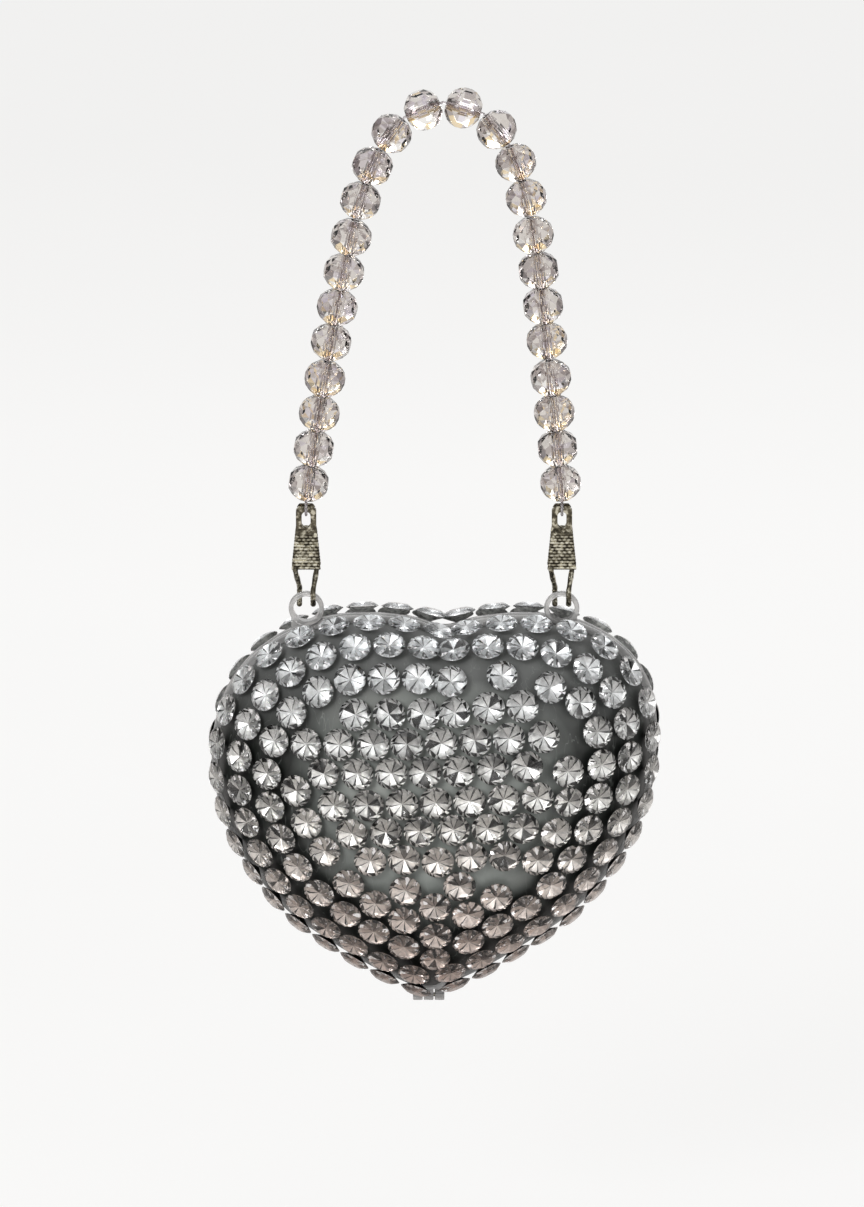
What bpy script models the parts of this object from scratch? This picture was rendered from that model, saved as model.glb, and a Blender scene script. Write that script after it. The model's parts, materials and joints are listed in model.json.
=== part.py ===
"""A heart-shaped clutch: two moulded shells covered in round cut stones, hinged at the tip, hung by two pinch
clips from a strand of faceted glass beads. Metres, +Z up, the front toward -Y. The origin is the crown of the
strand, where a hand or a hook holds it, and the bag hangs plumb below it in the plane of the seam."""

import math
import random

import bmesh
import bpy
import numpy as np
from mathutils import Matrix, Vector
from mathutils.bvhtree import BVHTree
from mathutils.geometry import delaunay_2d_cdt

NAME = "heart_clutch"

# Gaps between neighbours, how far a cutter runs past what it cuts, how close points are joined, and the steps
# of a search by halving
CLEARANCE = 0.0003
OVERRUN = 0.001
MERGE = 0.000003
HALVINGS = 30

# Beads and the cord that threads them
BEAD_COUNT = 24
BEAD_RADIUS = 0.005
BEAD_LENGTH = 0.0086
BEAD_SHOULDER_RADIUS = 0.0041
BEAD_SHOULDER_SETBACK = 0.0014
BEAD_END_RADIUS = 0.0021
BEAD_GIRDLE = 0.0018
BEAD_SIDES = 7
BORE_RADIUS = 0.00075
CORD_RADIUS = 0.00035
FLEX_GAP = 0.00075
TOP_BEADS = 8
SIDE_BEADS = 4

# The strand's curve: its half width squared is CROWN_REACH^2 (1 - exp(-drop / CROWN_TURN)) + LEG_SPREAD drop
CROWN_REACH = 0.0164
CROWN_TURN = 0.0113
LEG_SPREAD = 0.0072
CROWN_OFFSET = 0.0031

# Pinch clips
LOOP_RADIUS = 0.0018
FOLD_RADIUS = 0.0009
SHEET = 0.0006
CLIP_WIDTH = 0.005
SLOT_WIDTH = 0.0022
SLOT_TOP = 0.0007
SLOT_BOTTOM = 0.0049
PAD_TOP = 0.0062
PAD_BOTTOM = 0.015
PAD_TOP_WIDTH = 0.0054
PAD_BOTTOM_WIDTH = 0.0072
PAD_OFFSET = 0.0023
RIDGE_COUNT = 11
RIDGE_HEIGHT = 0.00035
RIDGE_DEPTH = 0.0003
RIDGE_MARGIN = 0.0005
LEG_RADIUS = 0.00065
LEG_TOP_OFFSET = 0.0026
LEG_FOOT_OFFSET = 0.0017
HOOK_RADIUS = 0.00245
HOOK_DEGREES = (35, 10, -15, -40, -65, -90, -110)
CLIP_DROP = 0.0219

# Eyelets
EYELET_RADIUS = 0.00435
EYELET_HOLE = 0.0032
EYELET_THICKNESS = 0.0018
EYELET_RISE = 0.0024
PIVOT_RISE = 0.0036
NOTCH_GAP = 0.0004

# Heart
HEART_WIDTH = 0.1058
HEART_HEIGHT = 0.0922
HALF_DEPTH = 0.0245
WALL = 0.0016
SEAM_GAP = 0.0003
RIM_OUT = 0.002
RIM_IN = 0.0004
RIM_THICKNESS = 0.0022
THUMB_NOTCH = 0.0016
POLE_RADIUS = 0.045
POLE_SHARE = 0.42
DOME_POWER = 3.0
OUTLINE_STEPS = 20
RING_DEGREES = (0, 13, 29, 48, 68, 81)

# The right half of the outline, from cleft to tip: shares of half the width, then of the height
OUTLINE_SHARES = (
    (0.0, 0.034),
    (0.17, 0.010),
    (0.36, 0.0),
    (0.54, 0.009),
    (0.70, 0.040),
    (0.86, 0.108),
    (0.965, 0.208),
    (1.0, 0.335),
    (0.975, 0.465),
    (0.90, 0.583),
    (0.78, 0.692),
    (0.63, 0.790),
    (0.45, 0.864),
    (0.25, 0.936),
    (0.10, 0.978),
    (0.0, 1.0),
)
# How far the middle line leans right, as a share of half the width, at shares of the height
MIDLINE_SHARES = ((0.0, 0.055), (0.335, 0.0), (1.0, -0.025))

# Stones and the film of glue that holds them
STONE_FOOT = 0.0038
STONE_TABLE = 0.0026
STONE_RISE = 0.0037
STONE_SIDES = 6
FILM = 0.0008
EDGE_LOOPS = 3
EDGE_PITCH = 0.00815
LOOP_STEP = 0.00795
ROW_PITCH = 0.007
COLUMN_PITCH = 0.0081
STONE_JITTER = 0.0007
STONE_SPACING = 0.0082
LEAST_SPACING = 0.00795
RELAX_ROUNDS = 25
PUSH_SHARE = 0.35
FILL_ROUNDS = 6

# Hinge at the tip
KNUCKLE_RADIUS = 0.0014
KNUCKLE_WIDTH = 0.0024
PIN_RADIUS = 0.0005
PIN_BORE = 0.0008
LEAF_REACH = 0.0012
ROUND_SIDES = 20
PIN_SIDES = 12

HINGE_DROP = RIM_OUT + CLEARANCE + KNUCKLE_RADIUS
# The wall starts inside the rim, and the film of glue just clear of it
WALL_START = SEAM_GAP / 2 + RIM_THICKNESS / 2
COAT_EDGE = SEAM_GAP / 2 + RIM_THICKNESS + 2 * CLEARANCE
# The kind of flat mesh that keeps to the inside of its outlines
INSIDE_ONLY = 1


def material(name, colour, roughness, metallic=0.0, alpha=1.0):
    """A Principled material with the part's colour, roughness and metallic value."""
    made = bpy.data.materials.new(name)
    made.use_nodes = True
    shader = made.node_tree.nodes["Principled BSDF"]
    shader.inputs["Base Color"].default_value = (*colour, 1.0)
    shader.inputs["Roughness"].default_value = roughness
    shader.inputs["Metallic"].default_value = metallic
    shader.inputs["Alpha"].default_value = alpha
    made.diffuse_color = (*colour, alpha)
    return made


def clear_scene():
    for old in list(bpy.data.objects):
        bpy.data.objects.remove(old)


def collection(name):
    made = bpy.data.collections.new(name)
    bpy.context.scene.collection.children.link(made)
    return made


def add_object(name, data, home, place=None):
    made = bpy.data.objects.new(name, data)
    home.objects.link(made)
    if place is not None:
        made.matrix_world = place
    return made


def add_mesh(name, shape, home, place=None):
    """An object from a bmesh, which is used up."""
    mesh = bpy.data.meshes.new(name)
    shape.to_mesh(mesh)
    shape.free()
    return add_object(name, mesh, home, place)


def cutter(name, shape, place=None):
    made = add_mesh(name, shape, TOOLS, place)
    made.hide_render = True
    made.display_type = "WIRE"
    return made


def boolean(target, tool, operation):
    made = target.modifiers.new(operation.lower() + "_" + tool.name, "BOOLEAN")
    made.operation = operation
    made.solver = "EXACT"
    made.object = tool


def baked(source, home, name):
    """The object's evaluated shape as a plain mesh with its loose caps joined; the source is removed."""
    bpy.context.view_layer.update()
    evaluated = source.evaluated_get(bpy.context.evaluated_depsgraph_get())
    mesh = bpy.data.meshes.new_from_object(evaluated)
    place = source.matrix_world.copy()
    bpy.data.objects.remove(source)
    shape = bmesh.new()
    shape.from_mesh(mesh)
    bmesh.ops.remove_doubles(shape, verts=shape.verts, dist=MERGE)
    shape.to_mesh(mesh)
    shape.free()
    return add_object(name, mesh, home, place)


def wire(name, points, radius, home, closed=False, resolution=1):
    """A round wire through points, straight from each to the next."""
    curve = bpy.data.curves.new(name, "CURVE")
    curve.dimensions = "3D"
    curve.bevel_depth = radius
    curve.bevel_resolution = resolution
    curve.use_fill_caps = not closed
    spline = curve.splines.new("POLY")
    spline.points.add(len(points) - 1)
    for point, place in zip(spline.points, points):
        point.co = (*place, 1.0)
    spline.use_cyclic_u = closed
    return add_object(name, curve, home)


def drum(radius, low, high, sides=ROUND_SIDES):
    """A solid cylinder along X, between two places on it, as a bmesh."""
    shape = bmesh.new()
    bmesh.ops.create_cone(
        shape, cap_ends=True, segments=sides, radius1=radius, radius2=radius, depth=high - low
    )
    turn = Matrix.Rotation(math.radians(90), 4, "Y") @ Matrix.Rotation(math.pi / sides, 4, "Z")
    bmesh.ops.transform(shape, matrix=Matrix.Translation(((low + high) / 2, 0, 0)) @ turn, verts=shape.verts)
    return shape


def block(low, high):
    """A box between two corners, as a bmesh."""
    shape = bmesh.new()
    bmesh.ops.create_cube(shape, size=1.0)
    middle = [(a + b) / 2 for a, b in zip(low, high)]
    sides = [b - a for a, b in zip(low, high)]
    bmesh.ops.scale(shape, vec=sides, verts=shape.verts)
    bmesh.ops.translate(shape, vec=middle, verts=shape.verts)
    return shape


# The strand


def half_width(drop):
    """Half the distance between the strand's two legs, at a drop below the crown."""
    return math.sqrt(CROWN_REACH**2 * (1 - math.exp(-drop / CROWN_TURN)) + LEG_SPREAD * drop)


def strand_curve(drop, samples=600):
    """The strand's middle line from the left end over the crown to the right end, as x, z points."""
    turns = np.linspace(-1.0, 1.0, 2 * samples + 1)
    drops = drop * turns**2
    widths = np.sign(turns) * np.array([half_width(d) for d in drops])
    return np.stack([widths - CROWN_OFFSET * drops / drop, -drops], axis=1)


def lengths_along(points):
    steps = np.linalg.norm(np.diff(points, axis=0), axis=1)
    return np.concatenate([[0.0], np.cumsum(steps)])


def strand_of_length(total):
    """The curve whose length is the total, found by halving."""
    low, high = 0.0, total
    for _ in range(HALVINGS):
        middle = (low + high) / 2
        if lengths_along(strand_curve(middle))[-1] < total:
            low = middle
        else:
            high = middle
    return strand_curve(low)


def flex_gaps():
    """The joints of the strand, as places in the row of gaps between beads."""
    first = (BEAD_COUNT - TOP_BEADS) // 2
    return {first - SIDE_BEADS, first, first + TOP_BEADS, first + TOP_BEADS + SIDE_BEADS}


def strand_places():
    """Where the cord bends: both ends, and the middle of each gap between two beads. Beads take the straight
    stretches between them, with room at each bend for the ends of both beads."""
    wanted = np.full(BEAD_COUNT, BEAD_LENGTH + CLEARANCE)
    steps = wanted.copy()
    for _ in range(12):
        curve = strand_of_length(steps.sum())
        along = lengths_along(curve)
        at = np.concatenate([[0.0], np.cumsum(steps)])
        places = np.stack([np.interp(at, along, curve[:, k]) for k in range(2)], axis=1)
        chords = np.diff(places, axis=0)
        angles = np.arctan2(chords[:, 1], chords[:, 0])
        bends = np.abs(np.diff(angles))
        room = np.zeros(BEAD_COUNT + 1)
        for k in range(1, BEAD_COUNT):
            least = FLEX_GAP if k in flex_gaps() else CLEARANCE
            room[k] = least + 2 * BEAD_END_RADIUS * math.tan(bends[k - 1] / 2)
        wanted = BEAD_LENGTH + (room[:-1] + room[1:]) / 2
        steps = steps + wanted - np.linalg.norm(chords, axis=1)
    return [Vector((x, 0, z)) for x, z in places], room / 2


def bead_mesh():
    """A faceted bead turned about Z, with its bore."""
    half = BEAD_LENGTH / 2
    profile = (
        (BEAD_END_RADIUS, half),
        (BEAD_SHOULDER_RADIUS, half - BEAD_SHOULDER_SETBACK),
        (BEAD_RADIUS, BEAD_GIRDLE / 2),
        (BEAD_RADIUS, -BEAD_GIRDLE / 2),
        (BEAD_SHOULDER_RADIUS, BEAD_SHOULDER_SETBACK - half),
        (BEAD_END_RADIUS, -half),
        (BORE_RADIUS, -half),
        (BORE_RADIUS, half),
    )
    shape = bmesh.new()
    corners = [shape.verts.new((radius, 0, height)) for radius, height in profile]
    for start, end in zip(corners, corners[1:] + corners[:1]):
        shape.edges.new((start, end))
    rough = add_mesh("bead", shape, TOOLS)
    screw = rough.modifiers.new("turn", "SCREW")
    screw.steps = BEAD_SIDES
    screw.render_steps = BEAD_SIDES
    screw.use_merge_vertices = True
    screw.merge_threshold = MERGE
    done = baked(rough, TOOLS, "bead_shape")
    mesh = done.data
    bpy.data.objects.remove(done)
    return mesh


def build_beads(places, room):
    mesh = bead_mesh()
    mesh.materials.append(GLASS)
    for k in range(BEAD_COUNT):
        start, end = places[k], places[k + 1]
        along = (end - start).normalized()
        low, high = start + along * room[k], end - along * room[k + 1]
        turn = along.to_track_quat("Z", "Y").to_matrix().to_4x4()
        add_object(f"bead_{k + 1:02d}", mesh, PARTS, Matrix.Translation((low + high) / 2) @ turn)


def build_cords(places):
    """The cord in five stretches, one for each side of each stretch of strand that swings."""
    top, side = (BEAD_COUNT - TOP_BEADS) // 2, SIDE_BEADS
    spans = {
        "cord_top": (top, top + TOP_BEADS),
        "cord_left_middle": (top - side, top),
        "cord_right_middle": (top + TOP_BEADS, top + TOP_BEADS + side),
        "cord_left_low": (0, top - side),
        "cord_right_low": (top + TOP_BEADS + side, BEAD_COUNT),
    }
    for name, (first, last) in spans.items():
        points = places[first : last + 1]
        if first > 0:
            points[0] = points[0] + (points[1] - points[0]).normalized() * CLEARANCE / 2
        if last < BEAD_COUNT:
            points[-1] = points[-1] + (points[-2] - points[-1]).normalized() * CLEARANCE / 2
        ends = [k for k, at in ((0, first == 0), (-1, last == BEAD_COUNT)) if at]
        for k in ends:
            foot = fold_centre(points[k])
            step = foot + Vector((0, 0, LOOP_RADIUS))
            points = [step] + points if k == 0 else points + [step]
        thread = wire(name + "_run", points, CORD_RADIUS, TOOLS)
        thread = baked(thread, PARTS, name)
        for k in ends:
            foot = fold_centre(places[first] if k == 0 else places[last])
            turns = [math.radians(30 * n) for n in range(12)]
            ring = [foot + LOOP_RADIUS * Vector((0, math.sin(a), math.cos(a))) for a in turns]
            loop = baked(wire(name + "_loop", ring, CORD_RADIUS, TOOLS, closed=True), TOOLS, name + "_ring")
            loop.hide_render = True
            loop.display_type = "WIRE"
            boolean(thread, loop, "UNION")
        thread.data.materials.append(CORD)


def fold_centre(end):
    """The middle of a clip's fold, below the strand's end."""
    return end - Vector((0, 0, LOOP_RADIUS + CORD_RADIUS))


# The clips


def arm_path(facing):
    """Rows of a clip's sheet, as place across the fold, height, half width and whether the slot starts there.
    The front arm, which faces -1, carries the fold."""
    rows = []
    if facing < 0:
        for degrees in range(90, -91, -30):
            turn = math.radians(degrees)
            rows.append((FOLD_RADIUS * math.sin(turn), FOLD_RADIUS * math.cos(turn), CLIP_WIDTH / 2, False))
    else:
        rows.append((FOLD_RADIUS, -CLEARANCE, CLIP_WIDTH / 2, False))
    rows.append((facing * FOLD_RADIUS, -SLOT_TOP, CLIP_WIDTH / 2, True))
    rows.append((facing * FOLD_RADIUS, -SLOT_BOTTOM, CLIP_WIDTH / 2, False))
    rows.append((facing * PAD_OFFSET, -PAD_TOP, PAD_TOP_WIDTH / 2, False))
    rows.append((facing * PAD_OFFSET, -PAD_BOTTOM, PAD_BOTTOM_WIDTH / 2, False))
    return rows


def build_arm(name, foot, facing):
    """One arm of a clip: a folded sheet with its slot, a ridged pad, and a leg that crosses to the other face
    and hooks under the eyelet's top."""
    shape = bmesh.new()
    grid = []
    for across, height, half, slot in arm_path(facing):
        columns = (-half, -SLOT_WIDTH / 2, SLOT_WIDTH / 2, half)
        grid.append(([shape.verts.new((x, across, height)) for x in columns], slot))
    for (upper, slot), (lower, _) in zip(grid, grid[1:]):
        for k in range(3):
            if not (slot and k == 1):
                shape.faces.new((upper[k], lower[k], lower[k + 1], upper[k + 1]))
    bmesh.ops.recalc_face_normals(shape, faces=shape.faces)
    arm = add_mesh(name, shape, PARTS, Matrix.Translation(foot))
    skin = arm.modifiers.new("sheet", "SOLIDIFY")
    skin.thickness = SHEET
    skin.offset = 0.0
    skin.use_even_offset = True

    ridges = bmesh.new()
    outer = PAD_OFFSET + SHEET / 2
    span = PAD_BOTTOM - PAD_TOP - 2 * RIDGE_MARGIN
    for k in range(RIDGE_COUNT):
        down = PAD_TOP + RIDGE_MARGIN + span * (k + 0.5) / RIDGE_COUNT
        share = (down - PAD_TOP) / (PAD_BOTTOM - PAD_TOP)
        half = PAD_TOP_WIDTH / 2 + share * (PAD_BOTTOM_WIDTH - PAD_TOP_WIDTH) / 2 - RIDGE_MARGIN
        low = (-half, outer - SHEET / 2, -down - RIDGE_HEIGHT / 2)
        high = (half, outer + RIDGE_DEPTH, -down + RIDGE_HEIGHT / 2)
        made = bmesh.ops.create_cube(ridges, size=1.0)["verts"]
        bmesh.ops.scale(ridges, vec=[b - a for a, b in zip(low, high)], verts=made)
        middle = Vector([(a + b) / 2 for a, b in zip(low, high)])
        middle.y *= facing
        bmesh.ops.translate(ridges, vec=middle, verts=made)
    boolean(arm, cutter(name + "_ridges", ridges, Matrix.Translation(foot)), "UNION")

    leg = baked(wire(name + "_leg_run", leg_points(facing), LEG_RADIUS, TOOLS), TOOLS, name + "_leg")
    leg.matrix_world = Matrix.Translation(foot)
    leg.hide_render = True
    leg.display_type = "WIRE"
    boolean(arm, leg, "UNION")
    arm.data.materials.append(NICKEL)


def leg_points(facing):
    """The leg's middle line: out of the pad, across to the other face, and round under the eyelet's top."""
    side = facing
    start = Vector((side * LEG_TOP_OFFSET, facing * PAD_OFFSET, -PAD_BOTTOM + LEG_RADIUS))
    bend = Vector((side * LEG_TOP_OFFSET, facing * PAD_OFFSET, -PAD_BOTTOM - LEG_RADIUS))
    points = [start, bend]
    for degrees in HOOK_DEGREES:
        turn = math.radians(degrees)
        across = -facing * HOOK_RADIUS * math.cos(turn)
        points.append(Vector((side * LEG_FOOT_OFFSET, across, HOOK_RADIUS * math.sin(turn) - CLIP_DROP)))
    return points


# The heart


def smooth_through(points, steps):
    """A smooth curve through points, with each inner span split in steps."""
    made = []
    for a, b, c, d in zip(points, points[1:], points[2:], points[3:]):
        for k in range(steps):
            t = k / steps
            square, cube = 2 * a - 5 * b + 4 * c - d, 3 * b - a - 3 * c + d
            made.append((2 * b + (c - a) * t + square * t**2 + cube * t**3) / 2)
    return made


def half_outline():
    """The right half of the outline, cleft to tip, in even steps, before it leans."""
    right = [np.array((x * HEART_WIDTH / 2, -z * HEART_HEIGHT)) for x, z in OUTLINE_SHARES]
    flip = np.array((-1, 1))
    fine = np.array(smooth_through([right[1] * flip, *right, right[-2] * flip], 12) + [right[-1]])
    along = lengths_along(fine)
    at = np.linspace(0, along[-1], OUTLINE_STEPS + 1)
    return np.stack([np.interp(at, along, fine[:, k]) for k in range(2)], axis=1)


def heart_outline(outset=0.0):
    """The outline as x, z points from the cleft round by the right to the tip and back, moved out."""
    right = half_outline()
    left = right[-2:0:-1] * (-1, 1)
    points = np.concatenate([right, left])
    depth, lean = zip(*MIDLINE_SHARES)
    points[:, 0] += np.interp(-points[:, 1] / HEART_HEIGHT, depth, lean) * HEART_WIDTH / 2
    tangents = np.roll(points, -1, axis=0) - np.roll(points, 1, axis=0)
    tangents /= np.linalg.norm(tangents, axis=1)[:, None]
    normals = np.stack([-tangents[:, 1], tangents[:, 0]], axis=1)
    return points + normals * outset


class Heart:
    """The outer face of the wall. A place on it is an angle round the pole, and degrees of rise from the seam
    to the pole; each half takes its own side of the seam."""

    def __init__(self):
        outline = heart_outline()
        self.pole = np.array((0.0, -POLE_SHARE * HEART_HEIGHT))
        arms = outline - self.pole
        turns = np.arctan2(arms[:, 0], arms[:, 1])
        order = np.argsort(turns)
        self.outline_turns = turns
        self.turns = np.concatenate([turns[order] - 2 * math.pi, turns[order], turns[order] + 2 * math.pi])
        self.radii = np.tile(np.linalg.norm(arms, axis=1)[order], 3)

    def radius(self, turn):
        return np.interp(turn, self.turns, self.radii)

    def place(self, turn, degrees, side):
        rise = np.radians(degrees)
        share = np.cos(rise) ** (2 / DOME_POWER)
        reach = share * ((1 - share**2) * POLE_RADIUS + share**2 * self.radius(turn))
        y = side * (WALL_START + (HALF_DEPTH - WALL_START) * np.sin(rise))
        x = HEART_X + self.pole[0] + reach * np.sin(turn)
        z = HEART_Z + self.pole[1] + reach * np.cos(turn)
        return np.stack(np.broadcast_arrays(x, y, z), axis=-1)

    def degrees_of(self, depth):
        """The rise at a depth from the seam."""
        return math.degrees(math.asin((depth - WALL_START) / (HALF_DEPTH - WALL_START)))

    def normal(self, turn, degrees, side):
        nudge = 0.5
        low, high = np.clip(degrees - nudge, 0, 90), np.clip(degrees + nudge, 0, 90)
        up = self.place(turn, high, side) - self.place(turn, low, side)
        turned = math.radians(2 * nudge)
        round_ = self.place(turn + turned, degrees, side) - self.place(turn - turned, degrees, side)
        out = np.cross(round_, up)
        out = out / np.linalg.norm(out, axis=-1)[..., None]
        return out * side

    def degrees_at(self, x, z):
        """The rise and angle of the place whose x and z are given, found by halving."""
        arm = np.stack([x, z], axis=-1) - self.pole
        turn = np.arctan2(arm[..., 0], arm[..., 1])
        reach = np.linalg.norm(arm, axis=-1)
        low, high = np.zeros_like(reach), np.ones_like(reach)
        for _ in range(HALVINGS):
            share = (low + high) / 2
            far = share * ((1 - share**2) * POLE_RADIUS + share**2 * self.radius(turn)) > reach
            high, low = np.where(far, share, high), np.where(far, low, share)
        return np.degrees(np.arccos(np.clip(low, 0, 1) ** (DOME_POWER / 2))), turn


def dome(name, rings, side, outset, home):
    """An open dome over the outline, from the first ring to the pole, moved out along its normals."""
    shape = bmesh.new()
    turns = HEART.outline_turns
    loops = []
    for degrees in rings:
        places = HEART.place(turns, float(degrees), side)
        places = places + HEART.normal(turns, float(degrees), side) * outset
        loops.append([shape.verts.new(place) for place in places])
    for lower, upper in zip(loops, loops[1:]):
        for k in range(len(turns)):
            n = (k + 1) % len(turns)
            shape.faces.new((lower[k], lower[n], upper[n], upper[k]))
    tip = shape.verts.new((HEART_X + HEART.pole[0], side * (HALF_DEPTH + outset), HEART_Z + HEART.pole[1]))
    last = loops[-1]
    for k in range(len(turns)):
        shape.faces.new((last[k], last[(k + 1) % len(turns)], tip))
    bmesh.ops.recalc_face_normals(shape, faces=shape.faces)
    made = add_mesh(name, shape, home)
    bpy.context.view_layer.update()
    middle = made.data.polygons[0]
    away = Vector(middle.center) - Vector((HEART_X, 0, HEART_Z + HEART.pole[1]))
    if middle.normal.dot(away) < 0:
        made.data.flip_normals()
    return made


def rim_plate(side):
    """The flat rim round a half, as a mesh object among the tools."""
    curve = bpy.data.curves.new("rim", "CURVE")
    curve.dimensions = "2D"
    curve.fill_mode = "BOTH"
    curve.extrude = RIM_THICKNESS / 2
    for outset in (RIM_OUT, -WALL - RIM_IN):
        spline = curve.splines.new("POLY")
        points = heart_outline(outset)
        spline.points.add(len(points) - 1)
        for point, (x, z) in zip(spline.points, points):
            point.co = (HEART_X + x, HEART_Z + z, 0, 1)
        spline.use_cyclic_u = True
    stand = Matrix.Rotation(math.radians(90), 4, "X")
    middle = side * (SEAM_GAP + RIM_THICKNESS) / 2
    rim = add_object("rim_run", curve, TOOLS, Matrix.Translation((0, middle, 0)) @ stand)
    rim = baked(rim, TOOLS, "rim_front" if side < 0 else "rim_back")
    rim.hide_render = True
    rim.display_type = "WIRE"
    return rim


def eyelet_disc(name, centre, radius, low, high):
    """A disc across the seam, between two places along Y."""
    shape = drum(radius, low, high)
    stand = Matrix.Rotation(math.radians(90), 4, "Z")
    bmesh.ops.transform(shape, matrix=stand, verts=shape.verts)
    return cutter(name, shape, Matrix.Translation(centre))


def rim_height(x):
    """The height of the rim's outer edge over a place across the shoulders."""
    across = SHOULDER[:, 0] + HEART_X
    upper = np.abs(np.arange(len(across)) - len(across) / 2) > len(across) / 4
    order = np.argsort(across[upper])
    return float(np.interp(x, across[upper][order], SHOULDER[upper, 1][order])) + HEART_Z


def neck_block(centre):
    """What ties an eyelet's lower half to the rim, from its middle."""
    near, far = SEAM_GAP / 2 + CLEARANCE, SEAM_GAP / 2 + RIM_THICKNESS - CLEARANCE
    half = (EYELET_HOLE + EYELET_RADIUS) / 2
    return block((-half, near, rim_height(centre.x) - RIM_OUT - centre.z), (half, far, 0))


def hinge_spans(side):
    """Where a half's knuckles lie along X, from the middle of the hinge."""
    inner = KNUCKLE_WIDTH / 2
    outer = inner + CLEARANCE + KNUCKLE_WIDTH
    if side < 0:
        return [(-inner, inner)]
    return [(-outer, -inner - CLEARANCE), (inner + CLEARANCE, outer)]


def build_shell(name, side):
    """One half: its domed wall, flat rim, hinge knuckles and, on the back, both eyelets."""
    shell = dome(name, RING_DEGREES, side, 0.0, PARTS)
    skin = shell.modifiers.new("wall", "SOLIDIFY")
    skin.thickness = WALL
    skin.offset = -1.0
    boolean(shell, rim_plate(side), "UNION")
    for number, (low, high) in enumerate(hinge_spans(side)):
        place = Matrix.Translation(HINGE)
        near, far = sorted((side * SEAM_GAP / 2, side * (SEAM_GAP / 2 + RIM_THICKNESS - CLEARANCE)))
        leaf = block((low, near, 0), (high, far, HINGE_DROP + LEAF_REACH))
        boolean(shell, cutter(f"{name}_leaf_{number}", leaf, place), "UNION")
        boolean(shell, cutter(f"{name}_knuckle_{number}", drum(KNUCKLE_RADIUS, low, high), place), "UNION")
        bore = drum(PIN_BORE, low - OVERRUN, high + OVERRUN, PIN_SIDES)
        boolean(shell, cutter(f"{name}_bore_{number}", bore, place), "DIFFERENCE")
    for label, centre in EYELETS.items():
        half = EYELET_THICKNESS / 2
        if side > 0:
            boolean(shell, eyelet_disc(f"eyelet_{label}", centre, EYELET_RADIUS, -half, half), "UNION")
            boolean(shell, cutter(f"neck_{label}", neck_block(centre), Matrix.Translation(centre)), "UNION")
            far = RIM_THICKNESS + OVERRUN
            boolean(shell, eyelet_disc(f"eyelet_hole_{label}", centre, EYELET_HOLE, -far, far), "DIFFERENCE")
        else:
            notch = EYELET_RADIUS + NOTCH_GAP
            far = SEAM_GAP / 2 + RIM_THICKNESS + OVERRUN
            boolean(shell, eyelet_disc(f"notch_{label}", centre, notch, -far, OVERRUN), "DIFFERENCE")
    if side < 0:
        cleft = heart_outline(RIM_OUT)[0]
        place = Vector((HEART_X + cleft[0], 0, HEART_Z + cleft[1]))
        far = SEAM_GAP / 2 + RIM_THICKNESS + OVERRUN
        boolean(shell, eyelet_disc("thumb_notch", place, THUMB_NOTCH, -far, OVERRUN), "DIFFERENCE")
    shell.data.materials.append(CLEAR)


def even_loop(sample, rises, side, offset):
    """Places in even steps round the dome, along a rise that changes with the angle."""
    turns = np.linspace(-math.pi, math.pi, 721)
    along = lengths_along(HEART.place(turns, np.interp(turns, sample, rises), side))
    count = int(along[-1] // EDGE_PITCH)
    at = (np.arange(count) + offset) * along[-1] / count
    found = np.interp(at, along, turns)
    return list(zip(found.tolist(), np.interp(found, sample, rises).tolist()))


def rise_after(turn, first, step, side):
    """How far up the dome one comes after a step along it, from a first rise."""
    rises = np.linspace(first, 90.0, 240)
    along = lengths_along(HEART.place(np.full_like(rises, turn), rises, side))
    return float(np.interp(step, along, rises))


def stone_places(side, seed):
    """Where the stones sit: loops along the edge, then rows, pushed apart where they crowd, with stones added
    in the widest bare places."""
    draw = random.Random(seed)
    sample = np.linspace(-math.pi, math.pi, 121)
    rises = np.full(len(sample), HEART.degrees_of(COAT_EDGE + STONE_FOOT + CLEARANCE))
    loops = []
    for number in range(EDGE_LOOPS):
        if number > 0:
            rises = np.array([rise_after(turn, rise, LOOP_STEP, side) for turn, rise in zip(sample, rises)])
        loops += even_loop(sample, rises, side, draw.random())
    loops = spaced(loops, side)
    fixed = np.array([HEART.place(turn, rise, side) for turn, rise in loops])

    rows = []
    columns = math.ceil(HEART_WIDTH / 2 / COLUMN_PITCH) + 1
    for number in range(round(HEART_HEIGHT / ROW_PITCH) + 1):
        shift = COLUMN_PITCH * (0.5 * (number % 2) + 0.2 * draw.random())
        for k in range(-columns, columns + 1):
            x = k * COLUMN_PITCH + shift + draw.uniform(-STONE_JITTER, STONE_JITTER)
            rows.append((x, -number * ROW_PITCH + draw.uniform(-STONE_JITTER, STONE_JITTER)))
    spots = inside(np.array(rows), sample, rises)
    rows = thinned(spots, fixed, side)
    for _ in range(FILL_ROUNDS):
        stones = np.concatenate([on_dome(rows, side), fixed])
        gaps = np.linalg.norm(on_dome(spots, side)[:, None] - stones, axis=2).min(axis=1)
        rows = thinned(np.concatenate([rows, spots[[gaps.argmax()]]]), fixed, side)
    rise, turn = HEART.degrees_at(rows[:, 0], rows[:, 1])
    return loops + list(zip(turn.tolist(), rise.tolist()))


def spaced(places, side):
    """Places on the dome, less each one whose stone would stand on the foot of an earlier one's."""
    kept, found = [], []
    for turn, rise in places:
        here = HEART.place(turn, rise, side)
        if not found or np.linalg.norm(np.array(found) - here, axis=1).min() >= 2 * STONE_FOOT:
            kept.append((turn, rise))
            found.append(here)
    return kept


def inside(flat, sample, least):
    """Those x, z points whose rise is over the least at their angle."""
    rise, turn = HEART.degrees_at(flat[:, 0], flat[:, 1])
    return flat[rise > np.interp(turn, sample, least)]


def on_dome(flat, side):
    """Places on the dome over x, z points."""
    rise, turn = HEART.degrees_at(flat[:, 0], flat[:, 1])
    return HEART.place(turn, rise, side)


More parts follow.
